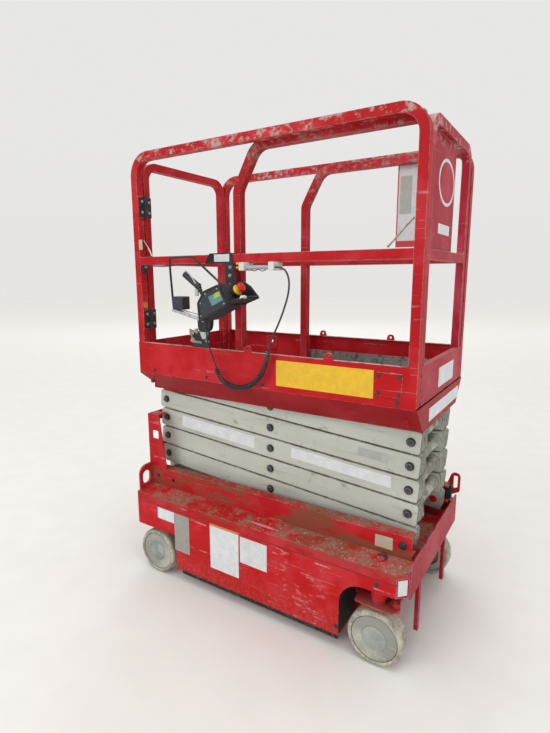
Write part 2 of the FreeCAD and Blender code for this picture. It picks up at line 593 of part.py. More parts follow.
# steering knuckles: plate over the tyre, inner leg, axle stub, king pin, track rod arm
for name, side in (("left", -1), ("right", 1)):
    body = new_body("knuckle_" + name)
    y = side * S.king_half

    def span(a, b):
        return (a, b) if side > 0 else (-b, -a)
    lo, hi = span(leg_in, S.king_half + 37.0)
    prism(body, "XY", [rect(S.front_axle_x - 62.0, lo, S.front_axle_x + 62.0, hi, 12.0)], plate_z, plate_z + 10.0)
    lo, hi = span(leg_in, leg_in + 10.0)
    prism(body, "XZ", [rect(S.front_axle_x - 38.0, S.wheel_r - 34.0, S.front_axle_x + 38.0, plate_z + 4.0, 10.0)], lo, hi)
    lo, hi = span(leg_in + 10.0, S.chassis_half - 35.0)
    prism(body, "XZ", [("circle", S.front_axle_x, S.wheel_r, S.axle_r)], lo, hi)
    prism(body, "XY", [("circle", S.front_axle_x, y, 26.0)], plate_z + 10.0, plate_z + 34.0)
    prism(body, "XY", [("circle", S.front_axle_x, y, S.king_r)], plate_z + 10.0, 385.0)
    pin_x = S.front_axle_x + S.steer_arm
    lo, hi = (y - 18.0, y + 18.0)
    prism(body, "XY", [rect(S.front_axle_x, lo, pin_x + 16.0, hi, 14.0)], plate_z, plate_z + 10.0)
    prism(body, "XY", [("circle", pin_x, y, 8.0)], plate_z + 10.0, plate_z + 36.0)
body = new_body("track_rod")
pin_x = S.front_axle_x + S.steer_arm
prism(body, "XY", [rect(pin_x - 9.0, -S.king_half, pin_x + 9.0, S.king_half)], plate_z + 16.0, plate_z + 32.0)
for side in (-1, 1):
    prism(body, "XY", [("circle", pin_x, side * S.king_half, 16.0)], plate_z + 16.0, plate_z + 32.0)
for side in (-1, 1):
    cut(body, "XY", [("circle", pin_x, side * S.king_half, 8.0 + S.pin_clearance)], plate_z + 14.0, plate_z + 34.0)

# platform floor, skirt, roller tracks and pin lugs
body = new_body("platform_floor")
prism(body, "XY", [rect(-S.deck_half_x, -(S.deck_half_y - 3.0), S.deck_half_x - 16.0, S.deck_half_y - 3.0)],
      S.deck_z - 6.0, S.deck_z)
body = new_body("platform_underframe")
low, high = S.skirt_low_z, S.deck_z - 6.0
near_skirt = [(-S.deck_half_y, high), (-S.skirt_low_half, low), (-S.skirt_low_half + 3.3, low),
              (-S.deck_half_y + 3.3, high)]
for profile in (near_skirt, mirror_y(near_skirt)):
    prism(body, "YZ", [profile], -S.deck_half_x, S.deck_half_x)
cut(body, "XZ", [[(-S.deck_half_x - 5.0, low - 5.0), (-S.deck_half_x + 81.5, low - 5.0), (-S.deck_half_x, high - 6.0),
                  (-S.deck_half_x - 5.0, high - 6.0)]], -S.deck_half_y - 2.0, S.deck_half_y + 2.0)
prism(body, "YZ", [[(-S.skirt_low_half, low), (S.skirt_low_half, low), (S.deck_half_y, high),
                    (-S.deck_half_y, high)]], S.deck_half_x, S.deck_half_x + 3.0)
top_z = S.first_pin_z + 5.0 * S.pin_pitch
gap = S.top_roller_r + 0.6
near_track = [(-254.0, high), (-254.0, top_z - gap - 5.0), (-216.0, top_z - gap - 5.0),
              (-216.0, top_z - gap), (-249.0, top_z - gap), (-249.0, top_z + gap), (-216.0, top_z + gap),
              (-216.0, top_z + gap + 5.0), (-249.0, top_z + gap + 5.0), (-249.0, high)]
for profile in (near_track, mirror_y(near_track)):
    prism(body, "YZ", [profile], S.rear_pin_x - 33.0, S.rear_pin_x + 679.0)
x, z = front_pin(5)
for lo, hi in both(outer_lo, outer_lo + 12.0):
    prism(body, "XZ", [[(x - 44.0, high), (x + 40.0, high), (x + 36.0, z - 34.0, 28.0),
                        (x - 36.0, z - 34.0, 28.0)], ("circle", x, z, bore_r)], lo, hi)
for side in (-1, 1):
    for bx, bz, br in ((S.front_pin_x, S.deck_z - 65.0, 15.0), (-S.deck_half_x + 44.5, S.deck_z - 50.0, 9.0)):
        y_here = S.skirt_low_half + (bz - low) / (high - low) * (S.deck_half_y - S.skirt_low_half)
        a, b = y_here - 2.0, y_here + 9.0
        lo, hi = (-b, -a) if side < 0 else (a, b)
        prism(body, "XZ", [("circle", bx, bz, br)], lo, hi)

# toe boards with a folded top edge between the posts
toe_body = body = new_body("toe_boards")
for side in (-1, 1):
    sheet_profile = [(-S.deck_half_y, S.deck_z - 6.0), (-S.deck_half_y + 3.0, S.deck_z - 6.0),
                     (-S.deck_half_y + 3.0, S.toe_top_z), (-S.deck_half_y, S.toe_top_z)]
    lip = [(-S.deck_half_y + 3.0, S.toe_top_z - 3.0), (-S.deck_half_y + 18.0, S.toe_top_z - 3.0),
           (-S.deck_half_y + 18.0, S.toe_top_z), (-S.deck_half_y + 3.0, S.toe_top_z)]
    if side > 0:
        sheet_profile, lip = mirror_y(sheet_profile), mirror_y(lip)
    prism(body, "YZ", [sheet_profile], -S.deck_half_x, S.deck_half_x)
    prism(body, "YZ", [lip], -S.deck_half_x + S.tube, S.deck_half_x - S.tube)

    for lug_x in (S.deck_half_x - 687.5, S.deck_half_x - 328.5):
        lo, hi = (-S.deck_half_y, -S.deck_half_y + 6.0) if side < 0 else (S.deck_half_y - 6.0, S.deck_half_y)
        prism(body, "XZ", [[(lug_x - 20.0, S.toe_top_z - 2.0), (lug_x + 20.0, S.toe_top_z - 2.0),
                            (lug_x + 13.0, S.toe_top_z + 26.0, 12.5), (lug_x - 13.0, S.toe_top_z + 26.0, 12.5)],
                           ("circle", lug_x, S.toe_top_z + 12.0, S.lug_hole_r)], lo, hi)
prism(body, "XZ", [rect(-374.0, S.toe_top_z - 93.0, -312.0, S.toe_top_z - 21.0, 8.0), ("circle", -343.0, S.toe_top_z - 47.0, S.lanyard_r)],
      S.deck_half_y - 8.0, S.deck_half_y - 3.0)
cut(body, "XZ", [("circle", -343.0, S.toe_top_z - 47.0, S.lanyard_r)], S.deck_half_y - 9.0, S.deck_half_y + 1.0)

# fixed guard rails
rails = {}
t = S.tube
rail_out = S.deck_half_y - 3.0
for name, side in (("left", -1), ("right", 1)):
    body = rails[name] = new_body("guard_rail_" + name)
    lo, hi = (-rail_out, -rail_out + t) if side < 0 else (rail_out - t, rail_out)
    X = S.deck_half_x
    hoop = [(-X, S.deck_z), (-X, S.rail_top, S.bend_r), (X, S.rail_top, S.bend_r), (X, S.deck_z),
            (X - t, S.deck_z), (X - t, S.mid_top - t), (-X + t, S.mid_top - t), (-X + t, S.deck_z)]
    window = [(-X + t, S.mid_top), (X - t, S.mid_top), (X - t, S.rail_top - t, S.bend_r - t),
              (-X + t, S.rail_top - t, S.bend_r - t)]
    prism(body, "XZ", [hoop, window], lo, hi, "Sizes.tube")

# sliding deck with its own rails
body = new_body("sliding_deck")
prism(body, "XY", [rect(S.ext_rear_x, -S.ext_half, S.deck_half_x - 16.0, S.ext_half)], S.deck_z + 5.5, S.deck_z + 10.0)
for lo, hi in both(S.ext_half - 40.0, S.ext_half - 10.0):
    prism(body, "XY", [rect(S.ext_rear_x + 4.0, lo, S.deck_half_x - 156.5, hi)], S.deck_z + 0.4, S.deck_z + 5.5)
for lo, hi in both(S.ext_half - 3.0, S.ext_half):
    prism(body, "XZ", [rect(S.ext_rear_x + t, S.deck_z + 10.0, S.deck_half_x - t, S.deck_z + 70.0)], lo, hi)
body = new_body("front_toe_board")
prism(body, "XY", [rect(S.deck_half_x - 3.0, -S.ext_half, S.deck_half_x, S.ext_half)], S.deck_z, S.toe_top_z)
prism(body, "XY", [rect(S.deck_half_x - 16.0, -S.ext_half, S.deck_half_x - 3.0, S.ext_half)],
      S.deck_z + 5.5, S.deck_z + 10.0)
prism(body, "XY", [rect(S.deck_half_x - 18.0, -S.ext_half + t, S.deck_half_x - 3.0, S.ext_half - t)],
      S.toe_top_z - 3.0, S.toe_top_z)
body = new_body("sliding_side_rails")
xr = S.ext_rear_x
xf = S.deck_half_x - t
for lo, hi in both(S.ext_half - t, S.ext_half):
    frame_loop = [(xr, S.deck_z + 10.0), (xr, S.ext_top - 171.0, 70.0), (xr + 96.0, S.ext_top, 90.0), (xf, S.ext_top),
                  (xf, S.ext_top - t), (xr + 116.0, S.ext_top - t, 60.0), (xr + t, S.ext_top - 179.0, 60.0),
                  (xr + t, S.mid_top), (xf, S.mid_top), (xf, S.mid_top - t), (xr + t, S.mid_top - t),
                  (xr + t, S.deck_z + 10.0)]
    prism(body, "XZ", [frame_loop], lo, hi, "Sizes.tube")
body = new_body("sliding_front_frame")
H = S.ext_half
frame_loop = [(-H, S.deck_z + 10.0), (-H, S.ext_top, 80.0), (H, S.ext_top, 80.0), (H, S.deck_z + 10.0),
              (H - t, S.deck_z + 10.0), (H - t, S.mid_top - t), (-H + t, S.mid_top - t), (-H + t, S.deck_z + 10.0)]
window = [(-H + t, S.mid_top, 20.0), (H - t, S.mid_top, 20.0), (H - t, S.ext_top - t, 46.0),
          (-H + t, S.ext_top - t, 46.0)]
prism(body, "YZ", [frame_loop, window], xf, S.deck_half_x - 3.0)
prism(body, "YZ", [rect(-H + t, S.mid_top, 110.0, S.ext_top - t)], xf + 8.0, xf + 11.0)

# swinging gate at the rear end
GATE_X = -S.deck_half_x
body = new_body("gate_frame")
gate_low = S.deck_z + 20.0
gate_top = S.rail_top - 23.0
frame_loop = [(-H, gate_low), (-H, gate_top, 80.0), (H, gate_top, 80.0), (H, gate_low), (H - t, gate_low),
              (H - t, S.mid_top - t), (-H + t, S.mid_top - t), (-H + t, gate_low)]
window = [(-H + t, S.mid_top, 0.0), (H - t, S.mid_top, 0.0), (H - t, gate_top - t, 46.0), (-H + t, gate_top - t, 46.0)]
prism(body, "YZ", [frame_loop, window], GATE_X, GATE_X + t)
prism(body, "YZ", [rect(-H + t, gate_low, H - t, S.toe_top_z)], GATE_X + 6.0, GATE_X + 9.0)
hinge_x = GATE_X + t + 9.0
hinge_y = -(S.ext_half + rail_out - t) / 2.0
LEAVES = ((S.rail_top - 269.0, S.rail_top - 179.0), (S.mid_top - 326.0, S.mid_top - 236.0))
for z0, z1 in LEAVES:
    third = (z1 - z0) / 3.0
    prism(body, "XY", [rect(GATE_X + t, hinge_y + 10.0, GATE_X + t + 4.0, hinge_y + 38.0)], z0, z1)
    prism(body, "XY", [("circle", hinge_x, hinge_y, 9.0)], z0 + third + 0.5, z1 - third - 0.5)
    prism(body, "XY", [rect(GATE_X + t, hinge_y, GATE_X + t + 4.0, hinge_y + 11.0)], z0 + third + 0.5, z1 - third - 0.5)
for z0, z1 in LEAVES:
    cut(body, "XY", [("circle", hinge_x, hinge_y, 4.0 + S.pin_clearance)], z0 - 2.0, z1 + 2.0)
body = rails["left"]
for z0, z1 in LEAVES:
    third = (z1 - z0) / 3.0
    prism(body, "XY", [rect(GATE_X + t, -rail_out, GATE_X + t + 4.0, hinge_y - 10.0)], z0, z1)
    for a, b in ((z0, z0 + third - 0.5), (z1 - third + 0.5, z1)):
        prism(body, "XY", [("circle", hinge_x, hinge_y, 9.0)], a, b)
        prism(body, "XY", [rect(GATE_X + t, hinge_y - 11.0, GATE_X + t + 4.0, hinge_y)], a, b)
    prism(body, "XY", [("circle", hinge_x, hinge_y, 4.0)], z0, z1)

# control box outside the left middle rail
def band(a, b, w):
    """A straight strip of width w between two points of a plane."""
    ux, uz = b[0] - a[0], b[1] - a[1]
    d = math.hypot(ux, uz)
    nx, nz = -uz / d * w / 2.0, ux / d * w / 2.0
    return [(a[0] + nx, a[1] + nz), (a[0] - nx, a[1] - nz), (b[0] - nx, b[1] - nz), (b[0] + nx, b[1] + nz)]


def out(d):
    """The Y that lies d outside the left rail's face."""
    return -rail_out - d


def hung(points):
    """Points whose heights count from the top of the middle rail."""
    return [(q[0], S.mid_top + q[1]) + tuple(q[2:]) for q in points]


body = new_body("control_bracket")
prism(body, "XZ", [hung([(-240.0, -36.0, 4.0), (-213.0, 5.0, 6.0), (-102.0, 5.0, 4.0), (-82.0, -106.0),
                         (-88.0, -171.0), (-132.0, -171.0), (-134.0, -36.0, 10.0)])], out(5.0), out(0.0))
prism(body, "XZ", [rect(-198.0, S.mid_top, -112.0, S.mid_top + 5.0)], out(0.0), out(-t))
prism(body, "XZ", [rect(-198.0, S.mid_top - 20.0, -112.0, S.mid_top + 5.0)], out(-t), out(-t - 3.0))
body = new_body("control_box")
prism(body, "XZ", [hung([(-185.0, -190.0, 6.0), (-152.0, -143.0, 10.0), (-78.0, -116.0, 6.0), (-32.0, -193.0, 5.0),
                         (-177.0, -264.0, 8.0)])], out(S.box_reach), out(5.0))
prism(body, "XZ", [hung([(-40.0, -197.0), (60.0, -174.0), (59.0, -166.0, 4.0), (-48.0, -180.0)])],
      out(S.box_reach - 6.0), out(6.0))
prism(body, "XZ", [hung([(-78.0, -118.0), (-39.0, -108.0, 24.0), (60.0, -167.0, 4.0), (-36.0, -197.0)])],
      out(14.0), out(6.0))
prism(body, "XZ", [hung(band((-345.0, -224.0), (-176.0, -254.0), 5.0))], out(95.5), out(25.5))
prism(body, "XZ", [hung(rect(-344.0, -224.0, -288.0, -167.0, 4.0))], out(93.5), out(47.5))
HOOP = ((-341.0, -222.0), (-355.0, -13.0), (-230.0, -11.0), (-84.0, -120.0))
for a, b in zip(HOOP, HOOP[1:]):
    prism(body, "XZ", [hung(band(a, b, 9.0))], out(93.5), out(84.5))
for x, z in HOOP[1:3]:
    prism(body, "XZ", [("circle", x, S.mid_top + z, 4.5)], out(93.5), out(84.5))
prism(body, "XZ", [hung(band((-282.0, -76.0), (-206.0, -128.0), 28.0))], out(97.5), out(69.5))
prism(body, "XZ", [hung(band((-214.0, -120.0), (-170.0, -186.0), 16.0))], out(91.5), out(75.5))
gland_z = S.mid_top - 270.0
prism(body, "XY", [("circle", -165.0, out(93.5), 8.0)], gland_z, gland_z + 16.0)
stop_turn = FreeCAD.Rotation(FreeCAD.Vector(0, 1, 0), math.degrees(math.atan2(77.0, 46.0)))
body = new_body("stop_button", (-55.0, out(63.5), S.mid_top - 154.5), stop_turn)
prism(body, "XY", [("circle", 0.0, 0.0, 15.0)], 0.0, 26.0)
prism(body, "XY", [("circle", 0.0, 0.0, 21.0)], 26.0, 36.0)
prism(body, "XY", [("circle", 0.0, 0.0, 9.0)], 36.0, 44.0)
prism(body, "XY", [("circle", 0.0, 0.0, 19.0)], 44.0, 60.0)
body = toe_body
prism(body, "XZ", [rect(S.deck_half_x - 144.5, S.toe_top_z - 107.0, S.deck_half_x - 50.5, S.toe_top_z - 25.0, 6.0)], -S.deck_half_y - 4.0, -S.deck_half_y)
body = rails["right"]
prism(body, "XZ", [rect(S.deck_half_x - 256.5, S.mid_top + 44.0, S.deck_half_x - 136.5, S.rail_top - 29.0)], rail_out - t - 3.0, rail_out - t)


def tube_along(label, points, r):
    """A tube of straight runs and tangent arcs; heights count from the top of the middle rail."""
    pts = [FreeCAD.Vector(q[0], q[1], S.mid_top + q[2]) for q in points]
    edges, here = [], pts[0]
    radii = []
    for a, b, c in zip(pts, pts[1:], pts[2:]):
        u = (a - b).normalize()
        v = (c - b).normalize()
        half = u.getAngle(v) / 2.0
        turn_half = math.pi / 2.0 - half
        reach = 0.45 * min((b - a).Length, (c - b).Length)
        bend = reach / math.tan(turn_half)
        radii.append(round(bend, 1))
        p1, p2 = b + u * reach, b + v * reach
        axis = (u + v).normalize()
        middle = b + axis * (bend / math.sin(half) - bend)
        edges.append(Part.makeLine(here, p1))
        edges.append(Part.Arc(p1, middle, p2).toShape())
        here = p2
    edges.append(Part.makeLine(here, pts[-1]))
    path = Part.Wire(edges)
    start = pts[0]
    ring = Part.Wire([Part.makeCircle(r, start, (pts[1] - start).normalize())])
    solid = path.makePipeShell([ring], True, False)
    print(label, "bend radii", radii, "volume ratio",
          round(solid.Volume / (math.pi * r * r * path.Length), 4))
    return solid


# cable of the control box: two thin leads and a curly stretch drawn as one fat tube
COIL_Y = out(33.5)
CABLE_R = 3.5
COIL_R = 10.0
LOW_LEAD = ((-165.0, out(93.5), -270.0), (-165.0, out(93.5), -312.0), (-184.0, out(63.5), -360.0),
            (-186.0, COIL_Y, -417.2), (-170.0, COIL_Y, -454.0))
COIL = ((-170.0, COIL_Y, -454.0), (-150.0, COIL_Y, -500.0), (-108.0, COIL_Y, -526.0), (-56.0, COIL_Y, -532.0),
        (-6.0, COIL_Y, -520.0), (38.0, COIL_Y, -490.0), (66.0, COIL_Y, -448.0), (80.0, COIL_Y, -404.0),
        (92.0, COIL_Y, -362.0))
TOP_LEAD = ((92.0, COIL_Y, -362.0), (102.0, COIL_Y, -327.0), (138.0, COIL_Y, -260.0), (164.0, COIL_Y, -198.0),
            (179.0, COIL_Y + 4.0, -142.0), (177.0, COIL_Y + 8.0, -92.0), (152.0, COIL_Y + 10.0, -54.0),
            (114.0, COIL_Y + 10.0, -54.0))
for label, routes in (("cable_coil", ((COIL, COIL_R),)), ("cable_leads", ((LOW_LEAD, CABLE_R), (TOP_LEAD, CABLE_R)))):
    shapes = [tube_along(label, points, r) for points, r in routes]
    feature = doc.addObject("Part::Feature", "F_" + label)
    feature.Label = label
    feature.Shape = shapes[0] if len(shapes) == 1 else Part.makeCompound(shapes)
    feature.Placement = FreeCAD.Placement(FreeCAD.Vector(S.x_shift, S.y_shift, 0), FreeCAD.Rotation())
    feature.setExpression("Placement.Base.x", "Sizes.x_shift")
    feature.setExpression("Placement.Base.y", "Sizes.y_shift")
    NODES.append((label, feature))

# clamps that hold the cable's upper end to the middle rail
body = new_body("cable_clamps")
clamp_z = S.mid_top - 54.0
for cx in (-34.0, 102.0):
    prism(body, "XZ", [rect(cx - 12.0, clamp_z - 12.0, cx + 12.0, S.mid_top - t, 3.0)], out(34.0), out(-t))
prism(body, "XZ", [rect(-24.0, clamp_z - 8.0, 92.0, clamp_z + 8.0)], out(24.0), out(8.0))
foot_z = S.toe_top_z
prism(body, "XZ", [[(-300.0, foot_z), (-230.0, foot_z), (-238.0, foot_z + 31.0, 6.0), (-248.0, foot_z + 63.0, 8.0),
                    (-286.0, foot_z + 69.0, 8.0), (-297.0, foot_z + 36.0, 6.0)],
                   ("circle", -266.0, foot_z + 37.0, 11.0)], -S.deck_half_y - 4.0, -S.deck_half_y + 18.0)

doc.recompute()
bad = [o.Name + ": " + ", ".join(o.State) for o in doc.Objects if "Invalid" in o.State or "Error" in o.State]
for label, node in NODES:
    if node.Shape.isNull() or not node.Shape.isValid() or node.Shape.Volume <= 0.0:
        bad.append(label + ": no valid solid")
if bad:
    raise RuntimeError("unsound objects: " + "; ".join(bad))
box = FreeCAD.BoundBox()
total = 0.0
labels = list(dict.fromkeys(label for label, node in NODES))
for label in labels:
    solids = [solid for name, node in NODES if name == label for solid in node.Shape.Solids]
    (solids[0] if len(solids) == 1 else Part.makeCompound(solids)).exportStep("parts/%s.step" % label)
    for solid in solids:
        box.add(solid.BoundBox)
        total += solid.Volume
print("nodes", len(labels), "box", box, "volume m3", round(total / 1e9, 4))
print("arm length", round(arm_l, 3), "rest angle", round(math.degrees(rest_angle), 4),
      "jack length", round(jack_l, 2), "jack angle", round(jack_deg, 3))
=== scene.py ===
"""Looks of a compact scissor lift, dressed over its packed construction model.

Every sub-assembly is a class that builds its own pieces, and every finish is a small frozen class.
Places are typed in millimetres from the platform's middle and from the floor, and `spot` turns them
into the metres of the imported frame.
"""

from __future__ import annotations

import json
import logging
import math
from dataclasses import dataclass
from enum import Enum
from typing import Sequence

import bmesh
import bpy
from mathutils import Matrix, Vector

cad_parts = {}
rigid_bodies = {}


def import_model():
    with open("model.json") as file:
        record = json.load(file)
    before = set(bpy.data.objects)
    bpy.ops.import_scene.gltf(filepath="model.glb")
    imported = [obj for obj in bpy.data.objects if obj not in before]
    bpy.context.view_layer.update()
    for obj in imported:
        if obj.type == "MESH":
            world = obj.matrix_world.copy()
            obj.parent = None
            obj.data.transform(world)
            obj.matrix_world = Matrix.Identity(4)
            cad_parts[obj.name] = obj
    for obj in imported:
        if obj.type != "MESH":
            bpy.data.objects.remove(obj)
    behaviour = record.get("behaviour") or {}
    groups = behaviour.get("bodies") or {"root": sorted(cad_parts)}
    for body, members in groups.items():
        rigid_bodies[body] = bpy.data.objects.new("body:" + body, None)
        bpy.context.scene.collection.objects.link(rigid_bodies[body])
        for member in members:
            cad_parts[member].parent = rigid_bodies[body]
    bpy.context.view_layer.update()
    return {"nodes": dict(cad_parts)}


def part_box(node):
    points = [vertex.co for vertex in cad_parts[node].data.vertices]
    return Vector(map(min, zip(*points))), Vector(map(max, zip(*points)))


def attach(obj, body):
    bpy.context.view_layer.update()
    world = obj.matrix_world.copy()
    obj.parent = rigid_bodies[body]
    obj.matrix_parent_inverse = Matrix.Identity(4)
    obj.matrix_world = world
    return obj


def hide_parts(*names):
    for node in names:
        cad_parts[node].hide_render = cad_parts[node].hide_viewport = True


LOG = logging.getLogger("scissor_lift")
X_SHIFT = -7.5
Y_SHIFT = 37.5
Colour = tuple[float, float, float]
Point2 = tuple[float, float]
Point3 = tuple[float, float, float]
Places = list[tuple[Point3, Point3]]
Socket = bpy.types.NodeSocket
Material = bpy.types.Material
Piece = bpy.types.Object
DAYLIGHT: Colour = (1.0, 0.985, 0.96)
SMOOTH_ANGLE = 32.0
BEVEL_ANGLE = 40.0
AHEAD: Point3 = (1.0, 0.0, 0.0)
NEAR: Point3 = (0.0, -1.0, 0.0)
UP: Point3 = (0.0, 0.0, 1.0)
DOWN: Point3 = (0.0, 0.0, -1.0)


def spot(x: float, y: float, z: float) -> Vector:
    """A place in millimetres from the platform's middle, as metres of the frame."""
    return Vector(((x + X_SHIFT) / 1000.0, (y + Y_SHIFT) / 1000.0, z / 1000.0))


class Axis(Enum):
    """The direction that an outline is pushed along, with the two axes it is drawn on."""

    X = (1, 2, 0)
    Y = (0, 2, 1)
    Z = (0, 1, 2)


# ---------------------------------------------------------------- shader graph and finishes


class NodeTree:
    """A node tree with short ways to add, feed and reckon."""

    tree: bpy.types.NodeTree

    def add(self, kind: str, **settings: object) -> bpy.types.Node:
        """Add a node and set its properties.

        Args:
            kind: the node's type.
            settings: properties by name.

        Returns:
            The new node.
        """
        node = self.tree.nodes.new(kind)
        for key, value in settings.items():
            setattr(node, key, value)
        return node

    def join(self, source: Socket, target: Socket) -> None:
        """Link an output to an input."""
        self.tree.links.new(source, target)

    def feed(self, target: Socket, source: object) -> None:
        """Link a socket to the target, or set the target's own value.

        Args:
            target: the input to feed.
            source: an output socket or a plain value.
        """
        if isinstance(source, Socket):
            self.join(source, target)
        else:
            target.default_value = source

    def math(self, operation: str, a: object, b: object = 0.0) -> Socket:
        """Reckon with a Math node.

        Args:
            operation: what the node does.
            a: first socket or number.
            b: second socket or number.

        Returns:
            The result.
        """
        node = self.add("ShaderNodeMath", operation=operation)
        self.feed(node.inputs[0], a)
        self.feed(node.inputs[1], b)
        return node.outputs[0]


class Graph(NodeTree):
    """A material's node tree, with the nodes that the finishes share."""

    def __init__(self, name: str) -> None:
        """Start a material with its shader and object coordinates.

        Args:
            name: the material's name.
        """
        self.material = bpy.data.materials.new(name)
        self.material.use_nodes = True
        self.tree = self.material.node_tree
        self.shader = self.tree.nodes["Principled BSDF"]
        self.coord = self.tree.nodes.new("ShaderNodeTexCoord")

    def times(self, a: object, b: object) -> Socket:
        """The product of two values."""
        return self.math("MULTIPLY", a, b)

    def plus(self, a: object, b: object) -> Socket:
        """The sum of two values."""
        return self.math("ADD", a, b)

    def minus(self, a: object, b: object) -> Socket:
        """The first value less the second."""
        return self.math("SUBTRACT", a, b)

    def larger(self, a: object, b: object) -> Socket:
        """The larger of two values."""
        return self.math("MAXIMUM", a, b)

    def band(self, value: object, low: float, high: float) -> Socket:
        """Turn a value into a smooth step.

        Args:
            value: socket or number.
            low: the step is zero below this.
            high: the step is one above this.

        Returns:
            The step.
        """
        node = self.add("ShaderNodeMapRange", interpolation_type="SMOOTHSTEP")
        self.feed(node.inputs["Value"], value)
        node.inputs["From Min"].default_value = low
        node.inputs["From Max"].default_value = high
        return node.outputs["Result"]

    def noise(self, scale: float, detail: float = 4.0, stretch: Point3 = (1.0, 1.0, 1.0),
              offset: float = 0.0, rough: float = 0.6, turn: float = 0.0) -> Socket:
        """Noise on the object's own coordinates.

        Args:
            scale: cycles to the metre.
            detail: octaves.
            stretch: extra scale along each axis.
            offset: shift that makes one noise unlike another.
            rough: strength of the finer octaves.
            turn: slant of the stretch about Y, in radians.

        Returns:
            The noise value, about 0.5 on average.
        """
        mapping = self.add("ShaderNodeMapping")
        mapping.inputs["Scale"].default_value = stretch
        mapping.inputs["Location"].default_value = (offset, offset * 0.7, offset * 1.3)
        mapping.inputs["Rotation"].default_value = (0.0, turn, 0.0)
        self.join(self.coord.outputs["Object"], mapping.inputs["Vector"])
        node = self.add("ShaderNodeTexNoise")
        self.join(mapping.outputs["Vector"], node.inputs["Vector"])
        node.inputs["Scale"].default_value = scale
        node.inputs["Detail"].default_value = detail
        node.inputs["Roughness"].default_value = rough
        return node.outputs["Fac"]

    def mix(self, factor: object, a: object, b: object) -> Socket:
        """Mix two colours.

        Args:
            factor: how much of the second colour shows.
            a: first colour or socket.
            b: second colour or socket.

        Returns:
            The mixed colour.
        """
        node = self.add("ShaderNodeMix", data_type="RGBA")
        self.feed(node.inputs[0], factor)
        for socket, value in ((node.inputs[6], a), (node.inputs[7], b)):
            self.feed(socket, value if isinstance(value, Socket) else (*value, 1.0))
        return node.outputs[2]

    def along(self, axis: str) -> Socket:
        """Measure a place along one of the object's axes.

        Args:
            axis: X, Y or Z.

        Returns:
            The place in metres.
        """
        node = self.add("ShaderNodeSeparateXYZ")
        self.join(self.coord.outputs["Object"], node.inputs[0])
        return node.outputs[axis]

    def height(self) -> Socket:
        """Height above the floor in metres."""
        return self.along("Z")

    def facing(self, axis: str = "Z") -> Socket:
        """Find how far the surface faces along one of the object's axes.

        Args:
            axis: X, Y or Z.

        Returns:
            The normal's share along the axis.
        """
        node = self.add("ShaderNodeSeparateXYZ")
        self.join(self.coord.outputs["Normal"], node.inputs[0])
        return node.outputs[axis]

    def edges(self, radius: float) -> tuple[Socket, Socket]:
        """Find the edges of the piece.

        Args:
            radius: how far from an edge the surface still counts, in metres.

        Returns:
            A mask that is one at edges, and the softened normal.
        """
        soft = self.add("ShaderNodeBevel", samples=4)
        soft.inputs["Radius"].default_value = radius
        flat = self.add("ShaderNodeNewGeometry")
        dot = self.add("ShaderNodeVectorMath", operation="DOT_PRODUCT")
        self.join(soft.outputs[0], dot.inputs[0])
        self.join(flat.outputs["Normal"], dot.inputs[1])
        mask = self.band(self.minus(1.0, dot.outputs["Value"]), 0.015, 0.22)
        return mask, soft.outputs[0]

    def finish(self, colour: object, roughness: object, metal: float = 0.0, coat: float = 0.0,
               bump: object = None, depth: float = 0.0004, normal: object = None,
               specular: float = 0.5) -> Material:
        """Set the shader's inputs and return the material.

        Args:
            colour: socket or colour of the surface.
            roughness: socket or number.
            metal: metallic, 0 or 1.
            coat: clear coat weight.
            bump: height socket, if any.
            depth: how deep the bump is, in metres.
            normal: softened normal to bump from, if any.
            specular: specular level.

        Returns:
            The finished material.
        """
        self.feed(self.shader.inputs["Base Color"],
                  colour if isinstance(colour, Socket) else (*colour, 1.0))
        self.feed(self.shader.inputs["Roughness"], roughness)
        self.shader.inputs["Metallic"].default_value = metal
        self.shader.inputs["Coat Weight"].default_value = coat
        self.shader.inputs["Coat Roughness"].default_value = 0.25
        self.shader.inputs["Specular IOR Level"].default_value = specular
        if bump is not None:
            node = self.add("ShaderNodeBump")
            node.inputs["Distance"].default_value = depth
            node.inputs["Strength"].default_value = 0.6
            self.feed(node.inputs["Height"], bump)
            if normal is not None:
                self.feed(node.inputs["Normal"], normal)
            self.join(node.outputs[0], self.shader.inputs["Normal"])
        elif normal is not None:
            self.feed(self.shader.inputs["Normal"], normal)
        return self.material


